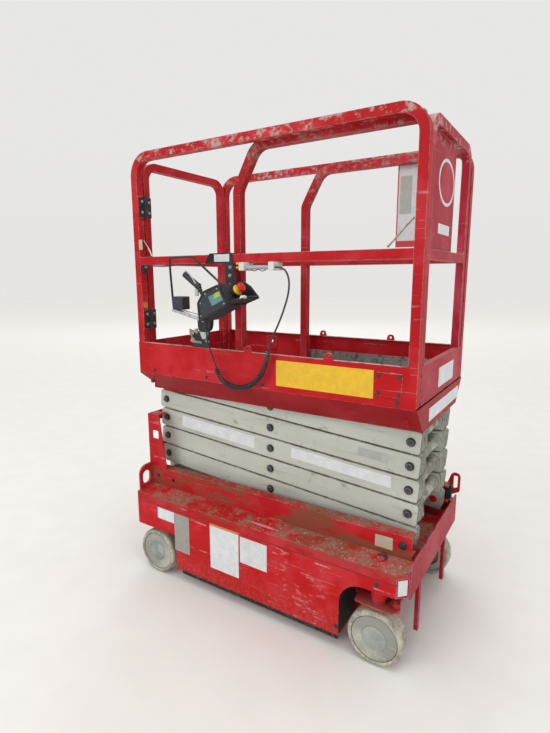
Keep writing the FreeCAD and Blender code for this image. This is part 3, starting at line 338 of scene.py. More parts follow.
@dataclass(frozen=True)
class WornPaint:
    """Sprayed paint on steel with chipped edges, scuffs, faded patches and settled dirt."""

    name: str
    colour: Colour
    faded: Colour = (0.53, 0.055, 0.075)
    primer: Colour = (0.46, 0.40, 0.34)
    rust: Colour = (0.11, 0.055, 0.035)
    dirt: Colour = (0.24, 0.19, 0.15)
    edge_mm: float = 3.0
    chips: float = 0.5
    fade: float = 0.25
    top_dirt: float = 0.5
    top_wear: float = 0.2
    scuffs: float = 0.4
    brown: float = 0.0
    brown_band: tuple[float, float] = (0.0, 0.0)
    brown_colour: Colour = (0.20, 0.065, 0.035)
    worn_above: float = 0.0
    worn_colour: Colour = (0.46, 0.36, 0.335)
    scraped: tuple[float, float] = (0.0, 0.0)
    scraped_colour: Colour = (0.58, 0.27, 0.235)
    gloss: float = 0.40
    offset: float = 0.0

    def build(self) -> Material:
        """Make the material.

        Returns:
            The finished material.
        """
        g = Graph(self.name)
        edge, soft = g.edges(self.edge_mm / 1000.0)
        top = g.band(g.facing(), 0.45, 0.85)
        coarse = g.noise(4.5, 3.0, offset=self.offset)
        patch = g.noise(17.0, 5.0, offset=self.offset + 3.1)
        fine = g.noise(95.0, 6.0, offset=self.offset + 7.7, rough=0.72)
        colour = g.mix(g.band(coarse, 0.25, 0.8), tuple(c * 0.78 for c in self.colour), self.colour)
        faded = g.times(g.band(g.plus(coarse, g.times(patch, 0.35)), 0.62, 0.82), self.fade)
        colour = g.mix(faded, colour, self.faded)
        if self.brown:
            low, high = self.brown_band
            z = g.height()
            inside = g.times(g.band(z, low - 0.006, low + 0.006),
                             g.minus(1.0, g.band(z, high - 0.006, high + 0.006)))
            smear = g.band(g.noise(5.0, 5.0, (0.55, 1.0, 2.4), self.offset + 1.9), 0.44, 0.55)
            colour = g.mix(g.times(g.times(inside, smear), self.brown), colour, self.brown_colour)
        if self.worn_above:
            high = g.times(g.band(g.height(), self.worn_above, self.worn_above + 0.03),
                           g.band(g.plus(g.noise(26.0, 8.0, offset=self.offset + 4.4, rough=0.8),
                                         g.plus(g.times(top, 0.20), g.times(coarse, 0.18))), 0.60, 0.68))
            colour = g.mix(g.times(high, 0.85), colour, self.worn_colour)
        if any(self.scraped):
            low, high = self.scraped
            x = g.along("X")
            near = g.times(g.band(x, low - 0.05, low + 0.04), g.minus(1.0, g.band(x, high - 0.04, high + 0.05)))
            rub = g.band(g.noise(42.0, 7.0, (0.3, 1.0, 1.3), self.offset + 6.6, rough=0.8, turn=-0.3), 0.535,
                         0.60)
            rub = g.times(g.times(rub, g.band(patch, 0.44, 0.60)), near)
            colour = g.mix(g.times(rub, 0.75), colour, self.scraped_colour)
        streak = g.noise(9.0, 5.0, (0.35, 1.0, 9.0), self.offset + 5.3, turn=0.35)
        hair = g.noise(14.0, 3.0, (0.16, 1.0, 16.0), self.offset + 8.8, turn=-0.5)
        scuff = g.times(g.larger(g.times(g.band(streak, 0.60, 0.70), g.band(patch, 0.5, 0.62)),
                                 g.times(g.band(hair, 0.68, 0.72), 0.8)), self.scuffs)
        colour = g.mix(scuff, colour, tuple(0.5 * c + 0.34 for c in self.faded))
        drive = g.plus(g.times(edge, 0.30 * self.chips + 0.10), g.times(top, 0.16 * self.top_wear))
        drive = g.plus(drive, g.times(g.minus(coarse, 0.5), 0.35 * self.chips))
        drive = g.plus(drive, g.times(g.minus(patch, 0.5), 0.35))
        chip = g.band(g.plus(fine, drive), 0.755 - 0.03 * self.chips, 0.79 - 0.03 * self.chips)
        bare = g.mix(g.band(g.noise(40.0, 3.0, offset=self.offset + 2.2), 0.5, 0.66), self.primer, self.rust)
        colour = g.mix(chip, colour, bare)
        grime = g.times(g.times(top, g.band(g.plus(patch, g.times(coarse, 0.5)), 0.62, 0.95)), self.top_dirt)
        low_dust = g.times(g.minus(1.0, g.band(g.height(), 0.02, 0.24)), g.band(fine, 0.42, 0.66))
        grime = g.larger(grime, g.times(low_dust, 0.35))
        colour = g.mix(grime, colour, self.dirt)
        rough = g.plus(self.gloss, g.times(g.larger(chip, grime), 0.35))
        rough = g.plus(rough, g.times(patch, 0.18))
        bump = g.plus(g.times(chip, -0.7), g.times(g.noise(260.0, 2.0), 0.25))
        return g.finish(colour, rough, bump=bump, normal=soft, specular=0.13)


@dataclass(frozen=True)
class ArmPaint:
    """Light grey arm paint with grime along the edges, rusty runs and thin scratches."""

    name: str = "arm_grey"
    colour: Colour = (0.53, 0.56, 0.495)
    run_colour: Colour = (0.30, 0.28, 0.22)
    dirt: Colour = (0.155, 0.125, 0.095)
    top_dirt: Colour = (0.17, 0.12, 0.09)
    end_grime: Colour = (0.13, 0.11, 0.085)
    mud_colour: Colour = (0.20, 0.135, 0.10)
    scratch_colour: Colour = (0.60, 0.61, 0.58)
    rust: Colour = (0.10, 0.06, 0.045)
    muddy_below: float = 0.0
    offset: float = 0.0

    def build(self) -> Material:
        """Make the material.

        Returns:
            The finished material.
        """
        g = Graph(self.name)
        edge, soft = g.edges(0.006)
        coarse = g.noise(3.5, 4.0, (1.0, 1.0, 2.0), self.offset)
        patch = g.noise(22.0, 6.0, offset=self.offset + 4.0)
        fine = g.noise(110.0, 5.0, offset=self.offset + 9.0, rough=0.7)
        runs = g.noise(12.0, 5.0, (0.25, 1.0, 5.0), self.offset + 6.0)
        colour = g.mix(g.band(coarse, 0.3, 0.75), tuple(c * 0.86 for c in self.colour), self.colour)
        colour = g.mix(g.times(g.band(runs, 0.52, 0.72), 0.45), colour, self.run_colour)
        dirt = g.times(g.band(g.plus(g.times(edge, 0.22), patch), 0.58, 0.80), 0.75)
        colour = g.mix(dirt, colour, self.dirt)
        top = g.times(g.band(g.facing(), 0.5, 0.9), g.band(patch, 0.35, 0.6))
        colour = g.mix(g.times(top, 0.7), colour, self.top_dirt)
        ends = g.band(g.math("ABSOLUTE", g.facing("X")), 0.45, 0.85)
        grime = g.band(g.plus(patch, g.times(runs, 0.3)), 0.44, 0.72)
        colour = g.mix(g.times(g.times(ends, grime), 0.85), colour, self.end_grime)
        if self.muddy_below:
            mud = g.minus(1.0, g.band(g.plus(g.height(), g.times(coarse, 0.10)),
                                      self.muddy_below, self.muddy_below + 0.06))
            mud = g.times(mud, g.band(patch, 0.34, 0.56))
            colour = g.mix(g.times(mud, 0.8), colour, self.mud_colour)
        scratch = g.band(g.noise(16.0, 3.0, (0.2, 1.0, 14.0), self.offset + 2.0, turn=0.12), 0.66, 0.70)
        colour = g.mix(g.times(scratch, 0.5), colour, self.scratch_colour)
        chip = g.band(g.plus(fine, g.times(edge, 0.24)), 0.76, 0.79)
        colour = g.mix(chip, colour, self.rust)
        bump = g.plus(g.times(chip, -0.6), g.times(g.noise(240.0, 2.0), 0.3))
        rough = g.plus(0.42, g.times(patch, 0.3))
        return g.finish(colour, rough, bump=bump, normal=soft)


@dataclass(frozen=True)
class Moulded:
    """Plastic, vinyl or rubber with a fine grain, worn lighter at its edges and dusty on top."""

    name: str
    colour: Colour
    gloss: float = 0.45
    dust: float = 0.25
    dust_colour: Colour = (0.30, 0.27, 0.23)
    edge_light: float = 0.25
    grain: float = 420.0
    patchy: float = 0.12
    specular: float = 0.3

    def build(self) -> Material:
        """Make the material.

        Returns:
            The finished material.
        """
        g = Graph(self.name)
        edge, soft = g.edges(0.0015)
        patch = g.noise(26.0, 5.0, offset=1.0)
        fine = g.noise(130.0, 5.0, offset=5.0, rough=0.7)
        light = tuple(min(1.0, c * 1.5 + 0.05) for c in self.colour)
        colour = g.mix(g.times(g.band(patch, 0.3, 0.75), self.patchy), self.colour, light)
        colour = g.mix(g.times(g.times(edge, g.band(fine, 0.35, 0.6)), self.edge_light), colour, light)
        dust = g.times(g.band(g.plus(fine, g.times(g.facing(), 0.14)), 0.54, 0.74), self.dust)
        colour = g.mix(dust, colour, self.dust_colour)
        bump = g.noise(self.grain, 2.0)
        rough = g.plus(self.gloss, g.times(patch, 0.2))
        return g.finish(colour, rough, bump=bump, depth=0.0002, normal=soft, specular=self.specular)


@dataclass(frozen=True)
class Sticker:
    """A blank printed sheet: even colour, rubbed scratches, lifted corners and a little dirt."""

    name: str
    colour: Colour
    wear: float = 0.35
    under: Colour = (0.45, 0.05, 0.05)
    smudge_colour: Colour = (0.25, 0.21, 0.18)
    offset: float = 0.0

    def build(self) -> Material:
        """Make the material.

        Returns:
            The finished material.
        """
        g = Graph(self.name)
        edge, _ = g.edges(0.003)
        patch = g.noise(30.0, 5.0, offset=self.offset)
        fine = g.noise(170.0, 5.0, offset=self.offset + 3.0, rough=0.7)
        colour = g.mix(g.band(patch, 0.3, 0.8), tuple(c * 0.84 for c in self.colour), self.colour)
        scratch = g.band(g.noise(22.0, 4.0, (0.25, 1.0, 12.0), self.offset + 1.0, turn=0.4), 0.66, 0.70)
        colour = g.mix(g.times(scratch, self.wear), colour, self.under)
        worn = g.band(g.plus(fine, g.times(edge, 0.10)), 0.78 - 0.08 * self.wear, 0.80 - 0.06 * self.wear)
        colour = g.mix(worn, colour, self.under)
        smudge = g.times(g.band(g.noise(55.0, 4.0, offset=self.offset + 6.0), 0.55, 0.75), 0.4 * self.wear + 0.1)
        colour = g.mix(smudge, colour, self.smudge_colour)
        return g.finish(colour, g.plus(0.34, g.times(patch, 0.2)), bump=patch, depth=0.0002)


@dataclass(frozen=True)
class BareMetal:
    """Steel, zinc or chrome with fine scratches and some tarnish."""

    name: str
    colour: Colour
    rough: float = 0.35
    tarnish: float = 0.4
    tarnish_colour: Colour = (0.12, 0.09, 0.07)
    metal: float = 1.0

    def build(self) -> Material:
        """Make the material.

        Returns:
            The finished material.
        """
        g = Graph(self.name)
        edge, soft = g.edges(0.0012)
        patch = g.noise(45.0, 6.0, offset=2.0)
        brushed = g.noise(60.0, 3.0, (1.0, 9.0, 1.0), 4.0)
        colour = g.mix(g.band(brushed, 0.35, 0.7), tuple(c * 0.82 for c in self.colour), self.colour)
        stain = g.times(g.band(g.minus(patch, g.times(edge, 0.1)), 0.48, 0.68), self.tarnish)
        colour = g.mix(stain, colour, self.tarnish_colour)
        rough = g.plus(self.rough, g.times(stain, 0.4))
        return g.finish(colour, rough, metal=self.metal, bump=brushed, depth=0.0001, normal=soft)


@dataclass(frozen=True)
class TyreRubber:
    """Pale non-marking rubber, scuffed paler at its shoulders and streaked with dirt."""

    name: str = "pale_tyre"
    colour: Colour = (0.46, 0.435, 0.36)
    streak: Colour = (0.25, 0.225, 0.18)
    pale: Colour = (0.64, 0.62, 0.55)
    nick_colour: Colour = (0.07, 0.06, 0.05)

    def build(self) -> Material:
        """Make the material.

        Returns:
            The finished material.
        """
        g = Graph(self.name)
        edge, soft = g.edges(0.005)
        patch = g.noise(24.0, 6.0, offset=3.0, rough=0.7)
        fine = g.noise(140.0, 5.0, offset=8.0, rough=0.75)
        colour = g.mix(g.band(patch, 0.40, 0.62), self.streak, self.colour)
        colour = g.mix(g.times(g.band(g.plus(fine, g.times(edge, 0.12)), 0.50, 0.66), 0.7), colour, self.pale)
        nick = g.band(g.noise(70.0, 4.0, offset=6.0), 0.66, 0.70)
        colour = g.mix(g.times(nick, 0.8), colour, self.nick_colour)
        bump = g.minus(g.times(fine, 0.7), nick)
        return g.finish(colour, 0.78, bump=bump, depth=0.0009, normal=soft, specular=0.3)


@dataclass(frozen=True)
class FloorPaint:
    """The plain pale floor, which also looks pale to the camera where it is far away."""

    name: str = "studio_floor"
    colour: Colour = (0.76, 0.75, 0.73)
    glow: float = 0.24
    glow_from: float = 4.0
    glow_full: float = 15.0

    def build(self) -> Material:
        """Make the material.

        Returns:
            The finished material.
        """
        g = Graph(self.name)
        speck = g.noise(7.0, 6.0, offset=2.0)
        colour = g.mix(g.band(speck, 0.3, 0.7), tuple(c * 0.97 for c in self.colour), self.colour)
        x, y = g.along("X"), g.along("Y")
        away = g.math("SQRT", g.plus(g.times(x, x), g.times(y, y)))
        rays = g.add("ShaderNodeLightPath").outputs
        seen = g.larger(rays["Is Camera Ray"], g.larger(rays["Is Glossy Ray"], rays["Is Transmission Ray"]))
        g.shader.inputs["Emission Color"].default_value = (*DAYLIGHT, 1.0)
        g.feed(g.shader.inputs["Emission Strength"],
               g.times(g.times(g.band(away, self.glow_from, self.glow_full), self.glow), seen))
        return g.finish(colour, 0.85, specular=0.2)


class Palette:
    """Builds each finish once and hands it out by name."""

    def __init__(self) -> None:
        """Make every finish of the lift."""
        red = (0.50, 0.008, 0.014)
        finishes = (
            WornPaint("red_chassis", red, brown=0.9, brown_band=(0.404, 0.503), top_dirt=0.8, top_wear=1.0,
                      scuffs=0.5, dirt=(0.24, 0.145, 0.10), offset=1.0),
            WornPaint("red_ledge", (0.50, 0.010, 0.014), fade=0.5, brown=0.6, brown_band=(0.38, 0.43),
                      top_dirt=0.85, top_wear=1.0, chips=0.8, scuffs=0.9, primer=(0.47, 0.37, 0.29),
                      dirt=(0.25, 0.13, 0.085), offset=2.0),
            WornPaint("red_cover", (0.56, 0.008, 0.012), fade=0.35, scuffs=0.75, chips=0.4, scraped=(0.08, 0.33),
                      offset=3.4),
            WornPaint("red_front", (0.43, 0.016, 0.034), faded=(0.45, 0.06, 0.10), fade=0.6, scuffs=0.5,
                      chips=0.95, worn_above=1.86, worn_colour=(0.55, 0.36, 0.35), primer=(0.56, 0.46, 0.43),
                      edge_mm=4.0, offset=4.0),
            WornPaint("red_rail", red, worn_above=1.905, top_wear=1.5, top_dirt=0.55, chips=0.9, fade=0.35,
                      scuffs=0.5, edge_mm=4.0, offset=5.0),
            WornPaint("red_sliding_rail", (0.46, 0.010, 0.018), worn_above=1.76, worn_colour=(0.27, 0.21, 0.18),
                      top_wear=3.2, top_dirt=0.95, chips=1.0, fade=0.4, primer=(0.34, 0.29, 0.25),
                      dirt=(0.20, 0.15, 0.12), edge_mm=5.0, offset=6.0),
            WornPaint("red_toe_board", (0.54, 0.008, 0.013), chips=0.65, fade=0.25, top_wear=2.8, top_dirt=0.8,
                      scuffs=0.35, primer=(0.55, 0.47, 0.41), offset=7.0),
            # A darker copy of the red paint for the platform's skirt: painted shade for the skirt that slopes
            # inward under the platform.
            WornPaint("red_skirt_shaded", (0.34, 0.010, 0.016), chips=0.25, fade=0.15, scuffs=0.25, offset=8.0),
            WornPaint("red_gate", (0.46, 0.010, 0.018), chips=0.6, fade=0.3, top_wear=1.2, offset=9.0),
            WornPaint("red_steering", (0.44, 0.02, 0.02), chips=0.6, fade=0.4, top_dirt=1.0,
                      dirt=(0.17, 0.10, 0.07), offset=10.0),
            WornPaint("black_steel", (0.022, 0.022, 0.025), faded=(0.10, 0.10, 0.11), primer=(0.20, 0.18, 0.16),
                      chips=0.35, fade=0.3, scuffs=0.3, offset=11.0),
            WornPaint("disc_paint", (0.37, 0.385, 0.345), faded=(0.53, 0.53, 0.46), primer=(0.50, 0.47, 0.38),
                      chips=0.7, fade=0.9, scuffs=0.9, top_dirt=0.2, edge_mm=3.0, gloss=0.5, offset=12.0),
            WornPaint("hub_paint", (0.27, 0.31, 0.30), faded=(0.42, 0.45, 0.42), primer=(0.46, 0.46, 0.40),
                      chips=0.3, fade=0.8, scuffs=0.8, top_dirt=0.1, edge_mm=2.0, gloss=0.45, offset=13.0),
            ArmPaint(),
            ArmPaint("arm_grey_low", muddy_below=0.47, offset=3.0),
            Moulded("black_plastic", (0.016, 0.017, 0.021), 0.34),
            Moulded("dark_box", (0.026, 0.030, 0.038), 0.42, dust=0.35, edge_light=0.5),
            Moulded("white_plastic", (0.66, 0.66, 0.63), 0.5, dust=0.3, edge_light=0.0),
            Moulded("grey_tube", (0.36, 0.38, 0.42), 0.5),
            Moulded("stop_red", (0.62, 0.014, 0.012), 0.25, dust=0.08, edge_light=0.1, patchy=0.05),
            Moulded("stop_yellow", (0.74, 0.50, 0.02), 0.35, dust=0.15, edge_light=0.1),
            Moulded("tan_bracket", (0.20, 0.19, 0.15), 0.6, dust=0.6, edge_light=0.6, patchy=0.8),
            Moulded("cable_rubber", (0.012, 0.012, 0.013), 0.24, dust=0.12, edge_light=0.1, specular=0.6),
            Moulded("battery_case", (0.05, 0.05, 0.055), 0.6),
            Sticker("sheet_white", (0.74, 0.77, 0.79), wear=0.2, under=(0.3, 0.29, 0.27), offset=1.0),
            Sticker("sheet_clean", (0.70, 0.72, 0.73), wear=0.12, offset=2.0),
            Sticker("sheet_silver", (0.34, 0.33, 0.30), wear=0.8, under=(0.12, 0.11, 0.10), offset=3.0),
            Sticker("sheet_yellow", (0.83, 0.50, 0.012), wear=0.25, under=(0.25, 0.16, 0.03), offset=4.0),
            Sticker("sheet_orange", (0.75, 0.20, 0.02), wear=0.4, offset=5.0),
            Sticker("sheet_red", (0.56, 0.02, 0.025), wear=0.2, under=(0.6, 0.5, 0.5), offset=6.0),
            Sticker("sheet_teal", (0.10, 0.27, 0.30), wear=0.5, under=(0.3, 0.32, 0.3), offset=7.0),
            Sticker("sheet_lime", (0.42, 0.46, 0.05), wear=0.5, under=(0.2, 0.2, 0.1), offset=8.0),
            Sticker("sheet_cream", (0.50, 0.42, 0.30), wear=0.9, under=(0.38, 0.12, 0.08), offset=9.0),
            Sticker("sheet_faint", (0.43, 0.46, 0.43), wear=0.5, under=(0.3, 0.3, 0.28), offset=10.0),
            Moulded("grime", (0.045, 0.028, 0.022), 0.8, dust=0.5, dust_colour=(0.16, 0.09, 0.06)),
            BareMetal("zinc", (0.50, 0.49, 0.46), 0.38, 0.5),
            BareMetal("dark_bolt", (0.06, 0.06, 0.062), 0.42, 0.4, metal=0.6),
            BareMetal("silver_bracket", (0.55, 0.56, 0.58), 0.32, 0.25),
            BareMetal("chrome", (0.80, 0.80, 0.81), 0.10, 0.08),
            BareMetal("deck_steel", (0.31, 0.30, 0.285), 0.48, 0.75, (0.13, 0.085, 0.06)),
            TyreRubber(),
            FloorPaint(),
        )
        self.items = {finish.name: finish.build() for finish in finishes}

    def __getitem__(self, name: str) -> Material:
        """The material of that name."""
        return self.items[name]


# ---------------------------------------------------------------- mesh making


def rounded(points: Sequence[Point2], radius: float, steps: int = 5) -> list[Point2]:
    """Round the corners of a closed outline.

    Args:
        points: corners of a convex or concave outline.
        radius: radius in millimetres.
        steps: points put on each corner less one.

    Returns:
        The outline with rounded corners.
    """
    result: list[Point2] = []
    count = len(points)
    for i, here in enumerate(points):
        before, after = points[i - 1], points[(i + 1) % count]
        a = Vector((before[0] - here[0], before[1] - here[1]))
        b = Vector((after[0] - here[0], after[1] - here[1]))
        reach = min(radius, 0.45 * a.length, 0.45 * b.length)
        p, q = Vector(here) + a.normalized() * reach, Vector(here) + b.normalized() * reach
        for k in range(steps + 1):
            t = k / steps
            m = p * (1 - t) ** 2 + Vector(here) * 2 * t * (1 - t) + q * t ** 2
            result.append((m.x, m.y))
    return result


def box_outline(x0: float, z0: float, x1: float, z1: float) -> list[Point2]:
    """The four corners of a rectangle."""
    return [(x0, z0), (x1, z0), (x1, z1), (x0, z1)]


def ellipse(x: float, z: float, a: float, b: float, steps: int = 48) -> list[Point2]:
    """An ellipse as an outline."""
    return [(x + a * math.cos(math.tau * k / steps), z + b * math.sin(math.tau * k / steps))
            for k in range(steps)]


class Form:
    """A mesh under construction, in millimetres from the platform's middle."""

    def __init__(self) -> None:
        """Start with nothing."""
        self.bm = bmesh.new()

    def ring(self, points: Sequence[Point2], axis: Axis, level: float) -> list[bmesh.types.BMVert]:
        """Put an outline's corners at one level.

        Args:
            points: corners in order.
            axis: the direction that the level is measured along.
            level: the place along it.

        Returns:
            The new corners.
        """
        i, j, k = axis.value
        made = []
        for point in points:
            place = [0.0, 0.0, 0.0]
            place[i], place[j], place[k] = point[0], point[1], level
            made.append(self.bm.verts.new(place))
        return made

    def prism(self, outline: Sequence[Point2], axis: Axis, low: float, high: float,
              hole: Sequence[Point2] | None = None) -> "Form":
        """Push an outline along an axis.

        Args:
            outline: corners in order.
            axis: the direction, which also says which two axes the outline is on.
            low: where the solid starts.
            high: where it ends.
            hole: a second outline with as many points, which is cut out.

        Returns:
            This form.
        """
        count = len(outline)
        a, b = self.ring(outline, axis, low), self.ring(outline, axis, high)
        sides = [(a, b)]
        if hole is None:
            self.bm.faces.new(a)
            self.bm.faces.new(b)
        else:
            c, d = self.ring(hole, axis, low), self.ring(hole, axis, high)
            sides.append((c, d))
            for outer, inner in ((a, c), (b, d)):
                for n in range(count):
                    m = (n + 1) % count
                    self.bm.faces.new((outer[n], outer[m], inner[m], inner[n]))
        for one, two in sides:
            for n in range(count):
                m = (n + 1) % count
                self.bm.faces.new((one[n], one[m], two[m], two[n]))
        return self

    def box(self, low: Point3, high: Point3) -> "Form":
        """A plain block between two corners."""
        return self.prism(box_outline(low[0], low[1], high[0], high[1]), Axis.Z, low[2], high[2])

    def lathe(self, profile: Sequence[Point2], centre: Point3, direction: Point3, steps: int = 40) -> "Form":
        """Turn a profile of radius and distance about a line.

        Args:
            profile: radius and distance along the line, from one end of the line to the other.
            centre: where the line starts.
            direction: the way the line runs.
            steps: sides of the turned piece.

        Returns:
            This form.
        """
        way = Vector(direction).normalized()
        across = way.orthogonal().normalized()
        other = way.cross(across)
        closed = profile[0][0] > 1e-6 and profile[-1][0] > 1e-6
        rings = []
        for r, h in profile:
            base = Vector(centre) + way * h
            if r <= 1e-6:
                rings.append([self.bm.verts.new(base)])
                continue
            rings.append([self.bm.verts.new(base + (across * math.cos(math.tau * s / steps)
                                                    + other * math.sin(math.tau * s / steps)) * r)
                          for s in range(steps)])
        pairs = list(zip(rings, rings[1:])) + ([(rings[-1], rings[0])] if closed else [])
        for one, two in pairs:
            for s in range(steps):
                t = (s + 1) % steps
                corners = [one[s % len(one)], one[t % len(one)], two[t % len(two)], two[s % len(two)]]
                unique = list(dict.fromkeys(corners))
                if len(unique) > 2:
                    self.bm.faces.new(unique)
        return self

    def tube(self, points: Sequence[Vector], radius: float, sides: int = 10,
             taper: Sequence[float] | None = None) -> "Form":
        """A round tube along points, with its frame carried along so that it doesn't twist.

        Args:
            points: centreline in millimetres.
            radius: tube radius.
            sides: sides of the tube.
            taper: radius factor at each point, if it varies.

        Returns:
            This form.
        """
        points = [Vector(p) for p in points]
        normal = (points[1] - points[0]).orthogonal().normalized()
        last: list[bmesh.types.BMVert] = []
        for n, here in enumerate(points):
            way = (points[min(n + 1, len(points) - 1)] - points[max(n - 1, 0)]).normalized()
            normal = (normal - way * normal.dot(way)).normalized()
            other = way.cross(normal)
            r = radius * (taper[n] if taper else 1.0)
            ring = [self.bm.verts.new(here + (normal * math.cos(math.tau * s / sides)
                                              + other * math.sin(math.tau * s / sides)) * r)
                    for s in range(sides)]
            if last:
                for s in range(sides):
                    t = (s + 1) % sides
                    self.bm.faces.new((last[s], last[t], ring[t], ring[s]))
            else:
                self.bm.faces.new(ring)
            last = ring
        self.bm.faces.new(last)
        return self

    def done(self, name: str, body: str, material: Material, bevel: float = 0.0,
             angle: float = SMOOTH_ANGLE) -> Piece:
        """Turn the form into a piece that rides on a body.

        Args:
            name: the piece's name.
            body: the construction body it rides on.
            material: its finish.
            bevel: width of the rounded edges in millimetres.
            angle: edges sharper than this many degrees stay sharp.

        Returns:
            The finished object.
        """
        bmesh.ops.remove_doubles(self.bm, verts=self.bm.verts, dist=1e-4)
        for vert in self.bm.verts:
            vert.co = spot(*vert.co)
        bmesh.ops.recalc_face_normals(self.bm, faces=self.bm.faces)
        mesh = bpy.data.meshes.new(name)
        self.bm.to_mesh(mesh)
        self.bm.free()
        mesh.materials.append(material)
        mesh.shade_smooth()
        mesh.set_sharp_from_angle(angle=math.radians(angle))
        piece = bpy.data.objects.new(name, mesh)
        bpy.context.scene.collection.objects.link(piece)
        if bevel:
            soften = piece.modifiers.new("Rounded edges", "BEVEL")
            soften.width = bevel / 1000.0
            soften.segments = 2
            soften.limit_method = "ANGLE"
            soften.angle_limit = math.radians(BEVEL_ANGLE)
            soften.harden_normals = False
        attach(piece, body)
        LOG.info("piece %s on %s", name, body)
        return piece


class Sheet:
    """Makes thin blank plates and labels that lie on a flat face."""

    sunk = 0.2

    def __init__(self, palette: Palette) -> None:
        """Keep the finishes."""
        self.palette = palette

    def lay(self, axis: Axis, body: str, name: str, outline: Sequence[Point2], level: float, finish: str,
            thick: float = 0.5, corner: float = 3.0) -> Piece:
        """Lay a sheet on a face, standing out on the side of the sign of its level.

        Args:
            axis: the direction that the face looks along.
            body: the construction body.
            name: the piece's name.
            outline: corners in order.
            level: where the face is along the axis.
            finish: the material's name.
            thick: how far the sheet stands out.
            corner: radius of its corners.

        Returns:
            The finished piece.
        """
        way = -1.0 if level < 0 else 1.0
        form = Form().prism(rounded(outline, corner), axis, level - self.sunk * way, level + thick * way)
        return form.done(name, body, self.palette[finish])


# ---------------------------------------------------------------- repeats by Geometry Nodes


class Repeater(NodeTree):
    """Base of the Geometry Nodes makers: a node group with named inputs, run once and kept as a mesh."""

    title = "Repeater"
    kinds: dict[str, str] = {}

    def __init__(self) -> None:
        """Build the node group."""
        self.tree = bpy.data.node_groups.new(self.title, "GeometryNodeTree")
        self.tree.interface.new_socket("Geometry", in_out="INPUT", socket_type="NodeSocketGeometry")
        self.tree.interface.new_socket("Geometry", in_out="OUTPUT", socket_type="NodeSocketGeometry")
        self.keys: dict[str, str] = {}
        for name, kind in self.kinds.items():
            made = self.tree.interface.new_socket(name, in_out="INPUT", socket_type="NodeSocket" + kind)
            self.keys[name] = made.identifier
        self.source = self.tree.nodes.new("NodeGroupInput")
        self.sink = self.tree.nodes.new("NodeGroupOutput")
        self.wire()

    def wire(self) -> None:
        """Join the group's nodes."""
        raise NotImplementedError

    def named(self, name: str) -> Socket:
        """The group input of that name."""
        return self.source.outputs[name]

    def finish_part(self, geometry: Socket) -> None:
        """Realize the instances, give them the material and send them out.

        Args:
            geometry: the instances.
        """
        real = self.add("GeometryNodeRealizeInstances")
        paint = self.add("GeometryNodeSetMaterial")
        self.join(geometry, real.inputs[0])
        self.join(real.outputs[0], paint.inputs["Geometry"])
        self.join(self.named("Material"), paint.inputs["Material"])
        self.join(paint.outputs[0], self.sink.inputs[0])

    def run(self, name: str, body: str, seed_mesh: bpy.types.Mesh, values: dict[str, object]) -> Piece:
        """Run the group on a seed mesh and keep the result as one piece.

        Args:
            name: the piece's name.
            body: the construction body it rides on.
            seed_mesh: points that the group reads.
            values: the group's inputs by name.

        Returns:
            The finished object.
        """
        piece = bpy.data.objects.new(name, seed_mesh)
        bpy.context.scene.collection.objects.link(piece)
        modifier = piece.modifiers.new(self.title, "NODES")
        modifier.node_group = self.tree
        for key, value in values.items():
            modifier[self.keys[key]] = value
        view = bpy.context.evaluated_depsgraph_get()
        made = bpy.data.meshes.new_from_object(piece.evaluated_get(view), depsgraph=view)
        piece.modifiers.remove(modifier)
        piece.data = made
        made.name = name
        made.shade_smooth()
        made.set_sharp_from_angle(angle=math.radians(SMOOTH_ANGLE))
        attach(piece, body)
        LOG.info("piece %s on %s, %d faces", name, body, len(made.polygons))
        return piece


